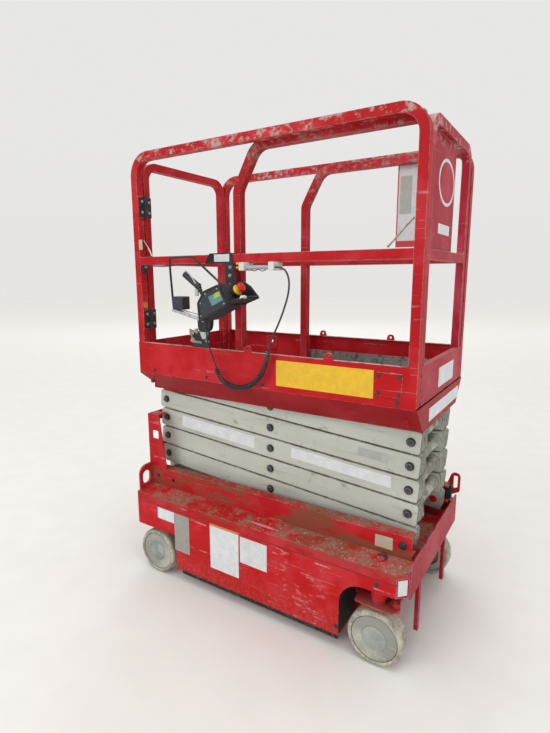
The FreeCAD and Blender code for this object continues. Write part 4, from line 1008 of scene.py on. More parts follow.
class BoltField(Repeater):
    """Bolt heads on washers at listed places."""

    title = "Bolt field"
    kinds = {"Head Radius": "Float", "Head Height": "Float", "Washer Radius": "Float", "Washer Height": "Float",
             "Sides": "Int", "Seed": "Int", "Material": "Material"}
    washer_sides = 28
    shank_share = 0.72
    crown_share = 0.28
    crown_narrow = 0.8

    def slice(self, kind: str, sides: object, low: object, height: object, radius: object,
              top: object = None) -> Socket:
        """Stand a cylinder or cone on a height.

        Args:
            kind: the mesh node's type.
            sides: sides of the turned shape.
            low: height of its foot.
            height: its own height.
            radius: radius at the foot.
            top: radius at the top of a cone.

        Returns:
            The placed mesh.
        """
        made = self.add(kind)
        for key, value in (("Vertices", sides), ("Depth", height), ("Radius", radius), ("Radius Bottom", radius),
                           ("Radius Top", top)):
            if key in made.inputs and value is not None:
                self.feed(made.inputs[key], value)
        lift = self.add("GeometryNodeTransform")
        place = self.add("ShaderNodeCombineXYZ")
        level = self.math("ADD", low, self.math("MULTIPLY", height, 0.5)) if kind.endswith("Cylinder") else low
        self.feed(place.inputs["Z"], level)
        self.join(place.outputs[0], lift.inputs["Translation"])
        self.join(made.outputs["Mesh"], lift.inputs["Geometry"])
        return lift.outputs[0]

    def wire(self) -> None:
        """Washer, shank and chamfered head, spun at random about the bolt's line."""
        washer_top = self.named("Washer Height")
        head = self.named("Head Height")
        radius = self.named("Head Radius")
        lower = self.math("MULTIPLY", head, self.shank_share)
        parts = (
            self.slice("GeometryNodeMeshCylinder", self.washer_sides, 0.0, washer_top,
                       self.named("Washer Radius")),
            self.slice("GeometryNodeMeshCylinder", self.named("Sides"), washer_top, lower, radius),
            self.slice("GeometryNodeMeshCone", self.named("Sides"), self.math("ADD", washer_top, lower),
                       self.math("MULTIPLY", head, self.crown_share), radius,
                       self.math("MULTIPLY", radius, self.crown_narrow)),
        )
        together = self.add("GeometryNodeJoinGeometry")
        for part in reversed(parts):
            self.join(part, together.inputs[0])
        out = self.add("GeometryNodeInputNamedAttribute", data_type="FLOAT_VECTOR")
        out.inputs["Name"].default_value = "out"
        align = self.add("FunctionNodeAlignRotationToVector", axis="Z")
        self.join(out.outputs["Attribute"], align.inputs["Vector"])
        chance = self.add("FunctionNodeRandomValue", data_type="FLOAT")
        chance.inputs[3].default_value = math.tau
        self.join(self.named("Seed"), chance.inputs["Seed"])
        about = self.add("ShaderNodeCombineXYZ")
        self.join(chance.outputs[1], about.inputs["Z"])
        euler = self.add("FunctionNodeEulerToRotation")
        self.join(about.outputs[0], euler.inputs[0])
        spin = self.add("FunctionNodeRotateRotation", rotation_space="LOCAL")
        self.join(align.outputs[0], spin.inputs[0])
        self.join(euler.outputs[0], spin.inputs[1])
        spread = self.add("GeometryNodeInstanceOnPoints")
        self.join(self.named("Geometry"), spread.inputs["Points"])
        self.join(together.outputs[0], spread.inputs["Instance"])
        self.join(spin.outputs[0], spread.inputs["Rotation"])
        self.finish_part(spread.outputs[0])

    def place(self, name: str, body: str, places: Places, material: Material,
              head: tuple[float, float], washer: tuple[float, float] = (0.01, 0.01), sides: int = 6,
              seed: int = 3) -> Piece:
        """Put bolts on a body.

        Args:
            name: the piece's name.
            body: the construction body.
            places: foot of each bolt and the way it points.
            material: the finish.
            head: radius and height of the head in millimetres.
            washer: radius and height of the washer in millimetres.
            sides: sides of the head.
            seed: seed of the spin.

        Returns:
            The finished piece.
        """
        mesh = bpy.data.meshes.new(name + "_points")
        mesh.from_pydata([spot(*p) for p, _ in places], [], [])
        layer = mesh.attributes.new("out", "FLOAT_VECTOR", "POINT")
        for n, (_, way) in enumerate(places):
            layer.data[n].vector = way
        return self.run(name, body, mesh, {
            "Head Radius": head[0] / 1000.0, "Head Height": head[1] / 1000.0,
            "Washer Radius": washer[0] / 1000.0, "Washer Height": washer[1] / 1000.0,
            "Sides": sides, "Seed": seed, "Material": material})


class TreadPlate(Repeater):
    """Raised lozenges of a tread plate, two crossed sets set half a step apart."""

    title = "Tread plate"
    kinds = {"Length": "Float", "Width": "Float", "Columns": "Int", "Rows": "Int", "Half Step": "Float",
             "Lozenge": "Vector", "Material": "Material"}
    lozenge = (0.0095, 0.0028, 0.0012)
    slant = 45.0
    segments, rings = 8, 4

    def wire(self) -> None:
        """Two grids of flattened balls, turned to either side."""
        origin = self.add("GeometryNodeInputPosition")
        at = self.add("GeometryNodeSampleIndex", data_type="FLOAT_VECTOR")
        self.join(self.named("Geometry"), at.inputs["Geometry"])
        self.join(origin.outputs[0], at.inputs["Value"])
        together = self.add("GeometryNodeJoinGeometry")
        for sign in (1.0, -1.0):
            grid = self.add("GeometryNodeMeshGrid")
            for mine, theirs in (("Size X", "Length"), ("Size Y", "Width"), ("Vertices X", "Columns"),
                                 ("Vertices Y", "Rows")):
                self.join(self.named(theirs), grid.inputs[mine])
            shift = self.add("ShaderNodeCombineXYZ")
            half = self.math("MULTIPLY", self.named("Half Step"), 0.5 * sign)
            self.join(half, shift.inputs["X"])
            self.join(half, shift.inputs["Y"])
            total = self.add("ShaderNodeVectorMath", operation="ADD")
            self.join(shift.outputs[0], total.inputs[0])
            self.join(at.outputs[0], total.inputs[1])
            move = self.add("GeometryNodeTransform")
            self.join(grid.outputs["Mesh"], move.inputs["Geometry"])
            self.join(total.outputs[0], move.inputs["Translation"])
            ball = self.add("GeometryNodeMeshUVSphere")
            ball.inputs["Segments"].default_value = self.segments
            ball.inputs["Rings"].default_value = self.rings
            ball.inputs["Radius"].default_value = 1.0
            spread = self.add("GeometryNodeInstanceOnPoints")
            self.join(move.outputs[0], spread.inputs["Points"])
            self.join(ball.outputs["Mesh"], spread.inputs["Instance"])
            self.join(self.named("Lozenge"), spread.inputs["Scale"])
            turn = self.add("FunctionNodeEulerToRotation")
            turn.inputs[0].default_value = (0.0, 0.0, sign * math.radians(self.slant))
            self.join(turn.outputs[0], spread.inputs["Rotation"])
            self.join(spread.outputs[0], together.inputs[0])
        self.finish_part(together.outputs[0])

    def place(self, name: str, body: str, low: Point2, high: Point2, top: float, material: Material,
              step: float = 30.0) -> Piece:
        """Cover a rectangle of deck with lozenges.

        Args:
            name: the piece's name.
            body: the construction body.
            low: smaller corner in millimetres.
            high: larger corner in millimetres.
            top: height of the deck in millimetres.
            material: the finish.
            step: distance from one lozenge to the next of its set.

        Returns:
            The finished piece.
        """
        wide = (high[0] - low[0] - step, high[1] - low[1] - step)
        counts = [max(2, int(w / step) + 1) for w in wide]
        mesh = bpy.data.meshes.new(name + "_middle")
        mesh.from_pydata([spot((low[0] + high[0]) / 2, (low[1] + high[1]) / 2, top)], [], [])
        return self.run(name, body, mesh, {
            "Length": (counts[0] - 1) * step / 1000.0, "Width": (counts[1] - 1) * step / 1000.0,
            "Columns": counts[0], "Rows": counts[1], "Half Step": step / 2000.0, "Lozenge": self.lozenge,
            "Material": material})


# ---------------------------------------------------------------- studio and cable


@dataclass
class Studio:
    """Camera, pale floor, soft lamps and the white surroundings."""

    eye: Point3 = (1.0962, -1.8776, 1.4250)
    lens_mm: float = 23.967
    yaw: float = 0.5663
    pitch: float = -0.1809
    roll: float = -0.0024
    sensor_mm: float = 36.0
    view_end: float = 60.0
    daylight: float = 0.72
    low_sky: Colour = (0.79, 0.78, 0.76)
    high_sky: Colour = (0.80, 0.795, 0.785)
    sky_from: float = -0.01
    sky_full: float = 0.24
    lamps_away: float = 2.7
    floor_half: float = 30.0

    def build_camera(self) -> Piece:
        """Place the camera where the photograph was taken.

        Returns:
            The camera.
        """
        yaw, pitch, roll = self.yaw, self.pitch, self.roll
        ahead = Vector((-math.sin(yaw) * math.cos(pitch), math.cos(yaw) * math.cos(pitch), math.sin(pitch)))
        right = Vector((math.cos(yaw), math.sin(yaw), 0.0))
        above = right.cross(ahead)
        across = right * math.cos(roll) + above * math.sin(roll)
        up = above * math.cos(roll) - right * math.sin(roll)
        data = bpy.data.cameras.new("camera")
        data.lens = self.lens_mm
        data.sensor_width = self.sensor_mm
        data.sensor_fit = "AUTO"
        data.dof.use_dof = False
        data.clip_end = self.view_end
        camera = bpy.data.objects.new("camera", data)
        camera.matrix_world = Matrix(((across.x, up.x, -ahead.x, self.eye[0]),
                                      (across.y, up.y, -ahead.y, self.eye[1]),
                                      (across.z, up.z, -ahead.z, self.eye[2]), (0.0, 0.0, 0.0, 1.0)))
        bpy.context.scene.collection.objects.link(camera)
        bpy.context.scene.camera = camera
        return camera

    def build_world(self) -> None:
        """Even light from all round, pale where the camera or a reflection sees it."""
        world = bpy.data.worlds.new("surroundings")
        bpy.context.scene.world = world
        world.use_nodes = True
        nodes, links = world.node_tree.nodes, world.node_tree.links
        light = nodes["Background"]
        light.inputs["Color"].default_value = (*DAYLIGHT, 1.0)
        light.inputs["Strength"].default_value = self.daylight
        seen = nodes.new("ShaderNodeBackground")
        coord = nodes.new("ShaderNodeTexCoord")
        split = nodes.new("ShaderNodeSeparateXYZ")
        climb = nodes.new("ShaderNodeMapRange")
        climb.interpolation_type = "SMOOTHSTEP"
        climb.inputs["From Min"].default_value = self.sky_from
        climb.inputs["From Max"].default_value = self.sky_full
        blend = nodes.new("ShaderNodeMix")
        blend.data_type = "RGBA"
        blend.inputs[6].default_value = (*self.low_sky, 1.0)
        blend.inputs[7].default_value = (*self.high_sky, 1.0)
        links.new(coord.outputs["Generated"], split.inputs[0])
        links.new(split.outputs["Z"], climb.inputs["Value"])
        links.new(climb.outputs["Result"], blend.inputs[0])
        links.new(blend.outputs[2], seen.inputs["Color"])
        seen.inputs["Strength"].default_value = 1.0
        path = nodes.new("ShaderNodeLightPath")
        either = path.outputs["Is Camera Ray"]
        for ray in ("Is Glossy Ray", "Is Transmission Ray"):
            larger = nodes.new("ShaderNodeMath")
            larger.operation = "MAXIMUM"
            links.new(either, larger.inputs[0])
            links.new(path.outputs[ray], larger.inputs[1])
            either = larger.outputs[0]
        mix = nodes.new("ShaderNodeMixShader")
        links.new(either, mix.inputs[0])
        links.new(light.outputs[0], mix.inputs[1])
        links.new(seen.outputs[0], mix.inputs[2])
        links.new(mix.outputs[0], nodes["World Output"].inputs[0])

    def build_lamps(self) -> None:
        """Large soft lamps overhead, at the near side, ahead and behind, outside the lift's travel."""
        lamps = (("overhead", (0.2, -0.4, 4.1), (0.0, 0.0, 0.5), 3.6, 70.0),
                 ("near_side", (-1.6, -4.2, 2.1), (0.0, 0.0, 0.9), 2.8, 62.0),
                 ("front_side", (4.0, -1.2, 1.7), (0.2, 0.0, 0.9), 2.4, 22.0),
                 ("far_side", (-2.2, 3.4, 2.2), (0.0, 0.0, 1.0), 2.6, 30.0))
        away = self.lamps_away
        for name, reach, target, size, watts in lamps:
            data = bpy.data.lights.new(name, "AREA")
            data.shape = "DISK"
            data.size = size * away
            data.energy = watts * away ** 2
            lamp = bpy.data.objects.new(name, data)
            lamp.location = Vector(target) + Vector(reach) * away
            lamp.rotation_euler = (-Vector(reach)).to_track_quat("-Z", "Y").to_euler()
            bpy.context.scene.collection.objects.link(lamp)

    def build_floor(self, material: Material) -> Piece:
        """Lay a wide plain floor.

        Args:
            material: its finish.

        Returns:
            The floor.
        """
        mesh = bpy.data.meshes.new("floor")
        wide = self.floor_half
        mesh.from_pydata([(-wide, -wide, 0), (wide, -wide, 0), (wide, wide, 0), (-wide, wide, 0)], [],
                         [(0, 1, 2, 3)])
        mesh.materials.append(material)
        floor = bpy.data.objects.new("floor", mesh)
        bpy.context.scene.collection.objects.link(floor)
        return floor

    def build(self, palette: Palette) -> None:
        """Set up everything round the lift.

        Args:
            palette: the finishes.
        """
        bpy.context.scene.view_settings.view_transform = "Standard"
        self.build_world()
        self.build_lamps()
        self.build_floor(palette["studio_floor"])
        LOG.info("studio ready")


@dataclass
class ControlCable:
    """The control set's cable: a plain lead, a curly stretch and a second lead up to the clamp."""

    palette: Palette
    radius: float = 3.5
    turn_radius: float = 8.2
    pitch: float = 10.6
    ramp: float = 16.0
    turn_points: int = 22
    least_step: float = 0.6
    low_lead: tuple[Point3, ...] = ((-165, -428, 1246), (-165, -428, 1204), (-184, -398, 1156),
                                    (-186, -368, 1098.8), (-170, -368, 1062))
    coil: tuple[Point3, ...] = ((-150, -368, 1016), (-108, -368, 990), (-56, -368, 984), (-6, -368, 996),
                                (38, -368, 1026), (66, -368, 1068), (80, -368, 1112), (92, -368, 1154))
    top_lead: tuple[Point3, ...] = ((102, -368, 1189), (138, -368, 1256), (164, -368, 1318), (179, -364, 1374),
                                    (177, -360, 1424), (152, -358, 1462), (114, -358, 1462))

    def centre_line(self) -> list[Vector]:
        """Follow the route's smooth curve.

        Returns:
            Points along it, in millimetres from the platform's middle.
        """
        curve = bpy.data.curves.new("cable_route", "CURVE")
        curve.dimensions = "3D"
        curve.resolution_u = 40
        spline = curve.splines.new("NURBS")
        places = [spot(*p) for p in self.low_lead + self.coil + self.top_lead]
        spline.points.add(len(places) - 1)
        for point, place in zip(spline.points, places):
            point.co = (*place, 1.0)
        spline.order_u = 3
        spline.use_endpoint_u = True
        holder = bpy.data.objects.new("cable_route", curve)
        bpy.context.scene.collection.objects.link(holder)
        view = bpy.context.evaluated_depsgraph_get()
        line = bpy.data.meshes.new_from_object(holder.evaluated_get(view), depsgraph=view)
        points = [Vector((v.co.x * 1000.0 - X_SHIFT, v.co.y * 1000.0 - Y_SHIFT, v.co.z * 1000.0))
                  for v in line.vertices]
        bpy.data.objects.remove(holder)
        bpy.data.meshes.remove(line)
        if (points[0] - Vector(self.low_lead[0])).length > 5.0:
            points.reverse()
        return points

    def wound(self, line: Sequence[Vector]) -> list[Vector]:
        """Wind the line into a helix along its curly stretch.

        Args:
            line: the smooth centre line.

        Returns:
            The wire's own centre line.
        """
        along = [0.0]
        for a, b in zip(line, line[1:]):
            along.append(along[-1] + (b - a).length)
        ends = self.low_lead[-1], self.coil[-1]
        nearest = [min(range(len(line)), key=lambda n: (line[n] - Vector(p)).length) for p in ends]
        start, end = along[nearest[0]], along[nearest[1]]
        normal = (line[1] - line[0]).orthogonal().normalized()
        frames = []
        for n in range(len(line)):
            way = (line[min(n + 1, len(line) - 1)] - line[max(n - 1, 0)]).normalized()
            normal = (normal - way * normal.dot(way)).normalized()
            frames.append((normal.copy(), way.cross(normal)))
        result = [p.copy() for p, s in zip(line, along) if s < start - 1.0]
        steps = int((end - start) / self.pitch * self.turn_points)
        index = nearest[0]
        for k in range(steps + 1):
            s = start + (end - start) * k / steps
            while index < len(along) - 2 and along[index + 1] < s:
                index += 1
            t = (s - along[index]) / max(1e-9, along[index + 1] - along[index])
            middle = line[index].lerp(line[index + 1], min(1.0, max(0.0, t)))
            one = frames[index][0].lerp(frames[index + 1][0], t)
            two = frames[index][1].lerp(frames[index + 1][1], t)
            grow = max(0.0, min(1.0, (s - start) / self.ramp, (end - s) / self.ramp))
            grow = grow * grow * (3.0 - 2.0 * grow)
            angle = math.tau * (s - start) / self.pitch
            result.append(middle + (one * math.cos(angle) + two * math.sin(angle)) * self.turn_radius * grow)
        result += [p.copy() for p, s in zip(line, along) if s > end + 1.0]
        return result

    def build(self) -> Piece:
        """Make the cable and the tapered relief at its gland.

        Returns:
            The cable.
        """
        path = self.wound(self.centre_line())
        kept = [path[0]]
        for point in path[1:]:
            if (point - kept[-1]).length > self.least_step:
                kept.append(point)
        form = Form().tube(kept, self.radius, 8)
        cable = form.done("control_cable", "platform", self.palette["cable_rubber"], angle=60.0)
        sleeve = [(3.6, 0.0), (6.6, 0.0), (6.2, 5.0), (4.9, 16.0), (4.2, 27.0), (3.6, 28.0)]
        form = Form().lathe(sleeve, self.low_lead[0], DOWN, 20)
        relief = form.done("cable_relief", "platform", self.palette["black_plastic"])
        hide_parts("cable_coil", "cable_leads")
        return cable


# ---------------------------------------------------------------- the lift's own trim

FRONT_PIN_X, REAR_PIN_X, MID_PIN_X = 608.0, -619.0, -5.5
FIRST_PIN_Z, PIN_PITCH, ARM_SLANT = 456.2, 93.7, -4.3669
FRONT_AXLE_X, REAR_AXLE_X = 554.5, -558.5
ARCH_X, REAR_CUT_X = 411.0, -429.0


def mirrored(places: Places) -> Places:
    """The places and their images on the other side of the lift."""
    return [*places, *(((p[0], -p[1], p[2]), (w[0], -w[1], w[2])) for p, w in places)]


def on_near_face(y: float, spots: Sequence[Point2]) -> Places:
    """Feet of bolts at some (x, z) of a face that looks to the near side."""
    return [((x, y, z), NEAR) for x, z in spots]


@dataclass
class Trim:
    """Base of the trim's sub-assemblies: the finishes and the shared makers."""

    palette: Palette
    sheets: Sheet
    bolts: BoltField

    def keep(self, form: Form, name: str, body: str, finish: str, bevel: float = 0.0) -> Piece:
        """Turn a form into a piece that rides on a body, with the finish of that name."""
        return form.done(name, body, self.palette[finish], bevel)


@dataclass
class ChassisTrim(Trim):
    """Bolts, blank labels and small fittings of the base."""

    cover_face: float = -380.0
    rail_face: float = -290.0
    half_square: float = 0.7071

    def labels(self) -> None:
        """Blank sheets on the side covers, the rail web and the front corner."""
        for name, outline, finish, corner in (
                ("cover_label_rear", [(-540, 291), (-433, 289), (-432, 344), (-539, 346)], "sheet_white", 2.0),
                ("cover_label_silver", [(-434, 157), (-343, 156), (-342, 342), (-434, 343)], "sheet_silver", 4.0),
                ("cover_label_tall", [(-218, 139), (-61, 138), (-60, 342), (-218, 343)], "sheet_white", 2.0),
                ("cover_label_band", [(-218, 343.5), (-60, 342.5), (-60, 358), (-218, 359)], "sheet_orange", 2.0),
                ("cover_label_wide", [(-53, 219), (84, 217), (85, 337), (-52, 339)], "sheet_clean", 2.0)):
            self.sheets.lay(Axis.Y, "chassis", name, outline, self.cover_face, finish, corner=corner)
        self.sheets.lay(Axis.Y, "chassis", "rail_label", [(514, 431), (583, 430), (582, 479), (515, 478)],
                        self.rail_face, "sheet_cream")
        base, tip = Vector((636.0, -375.0)), Vector((661.5, -349.5))
        out = Vector((self.half_square, -self.half_square)) * 0.6
        corners = [tuple(c) for c in (base - out * 0.3, tip - out * 0.3, tip + out, base + out)]
        Form().prism(corners, Axis.Z, 312.0, 372.0).done("corner_label", "chassis", self.palette["sheet_white"])

    def fittings(self) -> None:
        """Nuts on the ledges, rail plugs and cover screws."""
        nuts = mirrored([((554.0, -313.0, 410.0), UP)])
        self.bolts.place("ledge_nuts", "chassis", nuts, self.palette["grime"], (12.0, 7.5), (18.5, 2.5), 6, 5)
        plugs = mirrored(on_near_face(self.rail_face, [(620.0, 461.0)]))
        self.bolts.place("rail_plugs", "chassis", plugs, self.palette["black_plastic"], (13.0, 3.0), (16.0, 1.5),
                         26, 6)
        cover = on_near_face(self.cover_face, [(556.0, 331.0), (402.0, 100.0)])
        self.bolts.place("cover_screws", "chassis", mirrored(cover), self.palette["dark_bolt"], (6.5, 2.0),
                         (9.5, 1.0), 6, 7)
        block = Form().prism(rounded(box_outline(640.0, 432.0, 664.0, 500.0), 4.0), Axis.Y, 262.0, 283.0)
        self.keep(block, "corner_stop", "chassis", "black_plastic", 1.5)

    def folds(self) -> None:
        """Folded-down edges of the ledges with the seam under them, and the corners' folds."""
        fold, seam = Form(), Form()
        for way in (-1.0, 1.0):
            fold.prism([(-666.0, 357.0), (629.0, 357.0), (629.0, 393.5), (-666.0, 393.5)], Axis.Y, way * 379.6,
                       way * 381.8)
            seam.prism([(-666.0, 353.8), (629.0, 353.8), (629.0, 356.9), (-666.0, 356.9)], Axis.Y, way * 379.4,
                       way * 380.6)
            base, tip = Vector((630.5, way * 380.4)), Vector((666.2, way * 344.7))
            back = Vector((-self.half_square, -self.half_square * way)) * 5.0
            fold.prism([tuple(base), tuple(tip), tuple(tip + back), tuple(base + back)], Axis.Z, 377.5, 393.0)
        self.keep(fold, "ledge_folds", "chassis", "red_ledge", 0.9)
        self.keep(seam, "ledge_seams", "chassis", "grime")

    def liners(self) -> None:
        """Dark liners of the wheel arches, black partly as painted shade inside the arches, and the black bars
        under the belly.
        """
        liner_and_shade, bars = Form(), Form()
        for way in (-1.0, 1.0):
            # Black sheet over the red cross wall of each arch: partly a black lining, partly painted shade inside
            # the arch.
            low, high = sorted((way * 214.0, way * 374.0))
            liner_and_shade.box((ARCH_X + 0.2, low, 72.0), (ARCH_X + 1.6, high, 300.0))
            low, high = sorted((way * 343.2, way * 352.8))
            outline = [(REAR_CUT_X + 8.2, 23.2), (ARCH_X - 10.2, 23.2), (ARCH_X - 10.2, 59.6),
                       (REAR_CUT_X + 8.2, 59.6)]
            bars.prism(rounded(outline, 8.0), Axis.Y, low, high)
        self.keep(liner_and_shade, "arch_liners_and_shade", "chassis", "black_steel")
        self.keep(bars, "belly_bars", "chassis", "black_steel")

    def build(self) -> None:
        """Make all of it."""
        self.labels()
        self.fittings()
        self.folds()
        self.liners()


@dataclass
class WheelTrim:
    """One wheel: a moulded tyre with rounded shoulders and a scratched disc with its hub."""

    palette: Palette
    body: str
    side: float
    x: float
    steered: bool
    inner: float = 305.0
    outer: float = 380.0
    axle_z: float = 108.0

    def turned(self, part: str, profile: Sequence[Point2], finish: str, angle: float = SMOOTH_ANGLE,
               sides: int = 56) -> Piece:
        """Turn a profile about the axle.

        Args:
            part: first word of the piece's name.
            profile: radius and distance from the tyre's inner side.
            finish: the material's name.
            angle: edges sharper than this many degrees stay sharp.
            sides: sides of the turned piece.

        Returns:
            The finished piece.
        """
        form = Form().lathe(profile, (self.x, self.side * self.inner, self.axle_z), (0.0, self.side, 0.0), sides)
        return form.done(f"{part}_of_{self.body}", self.body, self.palette[finish], angle=angle)

    def build(self) -> None:
        """Turn the tyre, the disc, its seam and the hub."""
        wide = self.outer - self.inner
        piece = self.turned("tyre", [
            (90.2, 1.0), (97.0, 0.0), (102.0, 2.2), (106.0, 7.0), (107.8, 14.0), (107.9, wide / 2),
            (107.8, wide - 14.0), (106.2, wide - 7.5), (102.6, wide - 2.6), (98.0, wide - 0.4),
            (93.5, wide - 1.2), (90.2, wide - 3.4)], "pale_tyre", 50.0)
        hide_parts("tyre_" + self.body.replace("wheel_", ""))
        face = wide - 4.5
        piece = self.turned("disc", [
            (0.0, 20.0), (60.0, 20.0), (62.0, 3.0), (89.0, 3.0), (89.9, 5.0), (89.9, face - 2.2),
            (88.4, face - 0.6), (86.2, face), (50.0, face), (48.4, face - 1.4), (0.0, face - 1.4)],
                            "disc_paint", 28.0)
        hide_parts("disc_" + self.body.replace("wheel_", ""))
        self.turned("seam", [(88.2, face - 0.7), (90.3, face - 0.9), (90.3, face + 0.15), (88.2, face + 0.1)],
                    "black_steel")
        self.turned("hub", [
            (0.0, face - 1.6), (47.0, face - 1.6), (46.4, face - 0.3), (44.6, face + 0.2), (14.4, face + 0.2),
            (13.0, face - 1.0), (0.0, face - 1.0)], "hub_paint", 28.0, 48)
        if self.steered:
            self.plate()

    def plate(self) -> None:
        """The steering knuckle's wide plate over the tyre."""
        name = "left" if self.side < 0 else "right"
        low, high = sorted((self.side * 300.0, self.side * 378.0))
        outline = rounded(box_outline(self.x - 84.0, low, self.x + 70.0, high), 14.0)
        plate = Form().prism(outline, Axis.Z, 235.7, 238.9)
        plate.done("plate_of_knuckle_" + name, "knuckle_" + name, self.palette["red_steering"], bevel=0.8)


@dataclass
class ArmTrim(Trim):
    """Pin heads and blank labels of the scissor arms."""

    arm_face: float = -210.0
    pin_face: float = -210.5

    def pins(self) -> None:
        """Round black heads on dark rings at every pin."""
        for k in range(1, 6):
            places = [(MID_PIN_X, FIRST_PIN_Z + PIN_PITCH * (k - 0.5))]
            if k > 1:
                places.append((REAR_PIN_X, FIRST_PIN_Z + PIN_PITCH * (k - 1)))
            if k < 5:
                places.append((FRONT_PIN_X, FIRST_PIN_Z + PIN_PITCH * k))
            heads = mirrored(on_near_face(self.pin_face, places))
            self.bolts.place(f"pin_heads_{k}", f"inner_{k}", heads, self.palette["dark_bolt"], (12.2, 7.9),
                             (17.2, 3.4), 26, 10 + k)

    def label(self, name: str, stage: int, ends: Point2, low: float, high: float, finish: str) -> None:
        """A blank sheet that lies along an outer arm.

        Args:
            name: the piece's name.
            stage: which outer arm, counted from the floor.
            ends: where along the lift it starts and ends.
            low: lower edge, from the arm's centre line.
            high: upper edge, from the arm's centre line.
            finish: the material's name.
        """
        slope = math.tan(math.radians(ARM_SLANT))
        middle = FIRST_PIN_Z + PIN_PITCH * (stage - 0.5)
        rear, front = (middle + slope * (x - MID_PIN_X) for x in ends)
        outline = [(ends[0], rear + low), (ends[1], front + low), (ends[1], front + high), (ends[0], rear + high)]
        self.sheets.lay(Axis.Y, f"outer_{stage}", name, outline, self.arm_face, finish, corner=2.0)

    def build(self) -> None:
        """Make all of it."""
        self.pins()
        self.label("arm_label_rear", 3, (-520.0, -90.0), -24.0, 31.0, "sheet_white")
        self.label("arm_label_front", 3, (100.0, 540.0), -14.0, 32.0, "sheet_white")
        self.label("arm_label_faint", 4, (403.0, 523.0), -14.0, 22.0, "sheet_faint")


@dataclass
class PlatformTrim(Trim):
    """Plates, labels, tread and bolts of the platform and its sliding deck."""

    tread: TreadPlate
    slider_rise: float = 10.0
    skirt_face: float = 337.5

    def decks(self) -> None:
        """Raised lozenges on the fixed floor's open part and on the sliding deck."""
        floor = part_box("platform_floor")
        top, steel = floor[1].z * 1000.0, self.palette["deck_steel"]
        self.tread.place("tread_of_floor", "platform", (-600.0, -285.0), (-135.0, 285.0), top, steel)
        self.tread.place("tread_of_slider", "sliding_deck", (-112.0, -250.0), (612.0, 250.0),
                         top + self.slider_rise, steel)

    def plates(self) -> None:
        """The yellow plate, the cover plate's bolts and the blank labels."""
        lay = self.sheets.lay
        lay(Axis.Y, "platform", "yellow_plate", box_outline(106, 1008, 505, 1109), -self.skirt_face,
            "sheet_yellow", 1.2)
        plate = on_near_face(-341.5, [(x, z) for x in (522.0, 596.0) for z in (1032.0, 1094.0)])
        self.bolts.place("plate_bolts", "platform", plate, self.palette["dark_bolt"], (5.0, 3.5), (7.5, 1.2), 20,
                         21)
        lay(Axis.X, "platform", "skirt_label", box_outline(-180, 908, 280, 958), 659.5, "sheet_white", 0.6)
        lay(Axis.X, "sliding_deck", "front_toe_label", box_outline(-60, 1012, 170, 1088), 656.5, "sheet_white",
            0.6)
        lay(Axis.X, "sliding_deck", "panel_label", box_outline(-100, 1577, 60, 1612), 633.5, "sheet_white",
            corner=2.0)
        ring = Form().prism(ellipse(-10.0, 1759.0, 112.0, 81.0), Axis.X, 633.3, 634.0,
                            ellipse(-10.0, 1759.0, 100.0, 70.0))
        self.keep(ring, "panel_ring", "sliding_deck", "sheet_white")
        lay(Axis.Y, "platform", "post_label", box_outline(-626, 1548, -604, 1592), -334.5, "sheet_cream",
            corner=1.5)
        heads = [((x, way * self.skirt_face, 1003.0), (0.0, way, 0.0)) for way in (-1.0, 1.0)
                 for x in (-560.0, -250.0, 40.0, 330.0, 590.0) if x != 330.0 or way > 0]
        self.bolts.place("toe_bolts", "platform", heads, self.palette["dark_bolt"], (5.5, 3.5), (8.0, 1.2), 20,
                         22)

    def build(self) -> None:
        """Make all of it."""
        self.decks()
        self.plates()


@dataclass
class GateTrim(Trim):
    """Black hinge blocks with their bolts, a latch case and a worn strap at the rear gate."""

    hinge_feet: tuple[float, ...] = (1690.0, 1190.0)
    pin_x: float = -613.5
    pin_y: float = -296.25

    def build(self) -> None:
        """Make all of it."""
        heads = []
        blocks = Form()
        for low in self.hinge_feet:
            blocks.prism(rounded(box_outline(-328.0, low + 4.0, -303.5, low + 86.0), 3.0), Axis.X, -622.3, -613.0)
            blocks.lathe([(0.0, 0.0), (5.2, 0.0), (6.4, 1.2), (6.4, 3.5), (0.0, 3.5)],
                         (self.pin_x + 0.5, self.pin_y, low + 90.2), UP, 20)
            heads += [((-613.0, -316.0, low + dz), AHEAD) for dz in (22.0, 68.0)]
        for low in self.hinge_feet:
            for foot in (low, low + 60.6):
                blocks.lathe([(8.6, 0.0), (9.4, 0.0), (9.4, 29.2), (8.6, 29.2)], (self.pin_x, self.pin_y, foot),
                             UP, 24)
        self.keep(blocks, "hinge_blocks", "platform", "black_plastic", 1.2)
        leaves = Form()
        for low in self.hinge_feet:
            leaves.prism(rounded(box_outline(-285.5, low + 2.0, -259.0, low + 88.0), 3.0), Axis.X, -618.6, -616.0)
            leaves.lathe([(8.6, 0.0), (9.4, 0.0), (9.4, 28.4), (8.6, 28.4)], (self.pin_x, self.pin_y, low + 30.8),
                         UP, 24)
            bolts = [((-616.0, -272.0, low + dz), AHEAD) for dz in (22.0, 68.0)]
            self.bolts.place(f"leaf_bolts_{int(low)}", "gate", bolts, self.palette["zinc"], (4.5, 3.0),
                             (6.5, 1.2), 6, int(low))
        self.keep(leaves, "gate_leaves", "gate", "black_plastic", 1.0)
        self.bolts.place("hinge_bolts", "platform", heads, self.palette["zinc"], (5.0, 3.5), (7.0, 1.2), 6, 31)
        strap = Form().prism(rounded(box_outline(-330.0, 1286.0, -306.0, 1312.0), 3.0), Axis.X, -622.3, -618.0)
        self.keep(strap, "hinge_strap", "platform", "sheet_orange", 0.8)
        latch = Form().prism(rounded(box_outline(-330.0, 1446.0, -304.0, 1502.0), 4.0), Axis.X, -622.3, -609.0)
        self.keep(latch, "latch_case", "platform", "black_plastic", 1.5)
        self.bolts.place("latch_pin", "platform", [((-609.0, -317.0, 1474.0), AHEAD)], self.palette["zinc"],
                         (6.0, 5.0), (9.0, 1.5), 24, 32)


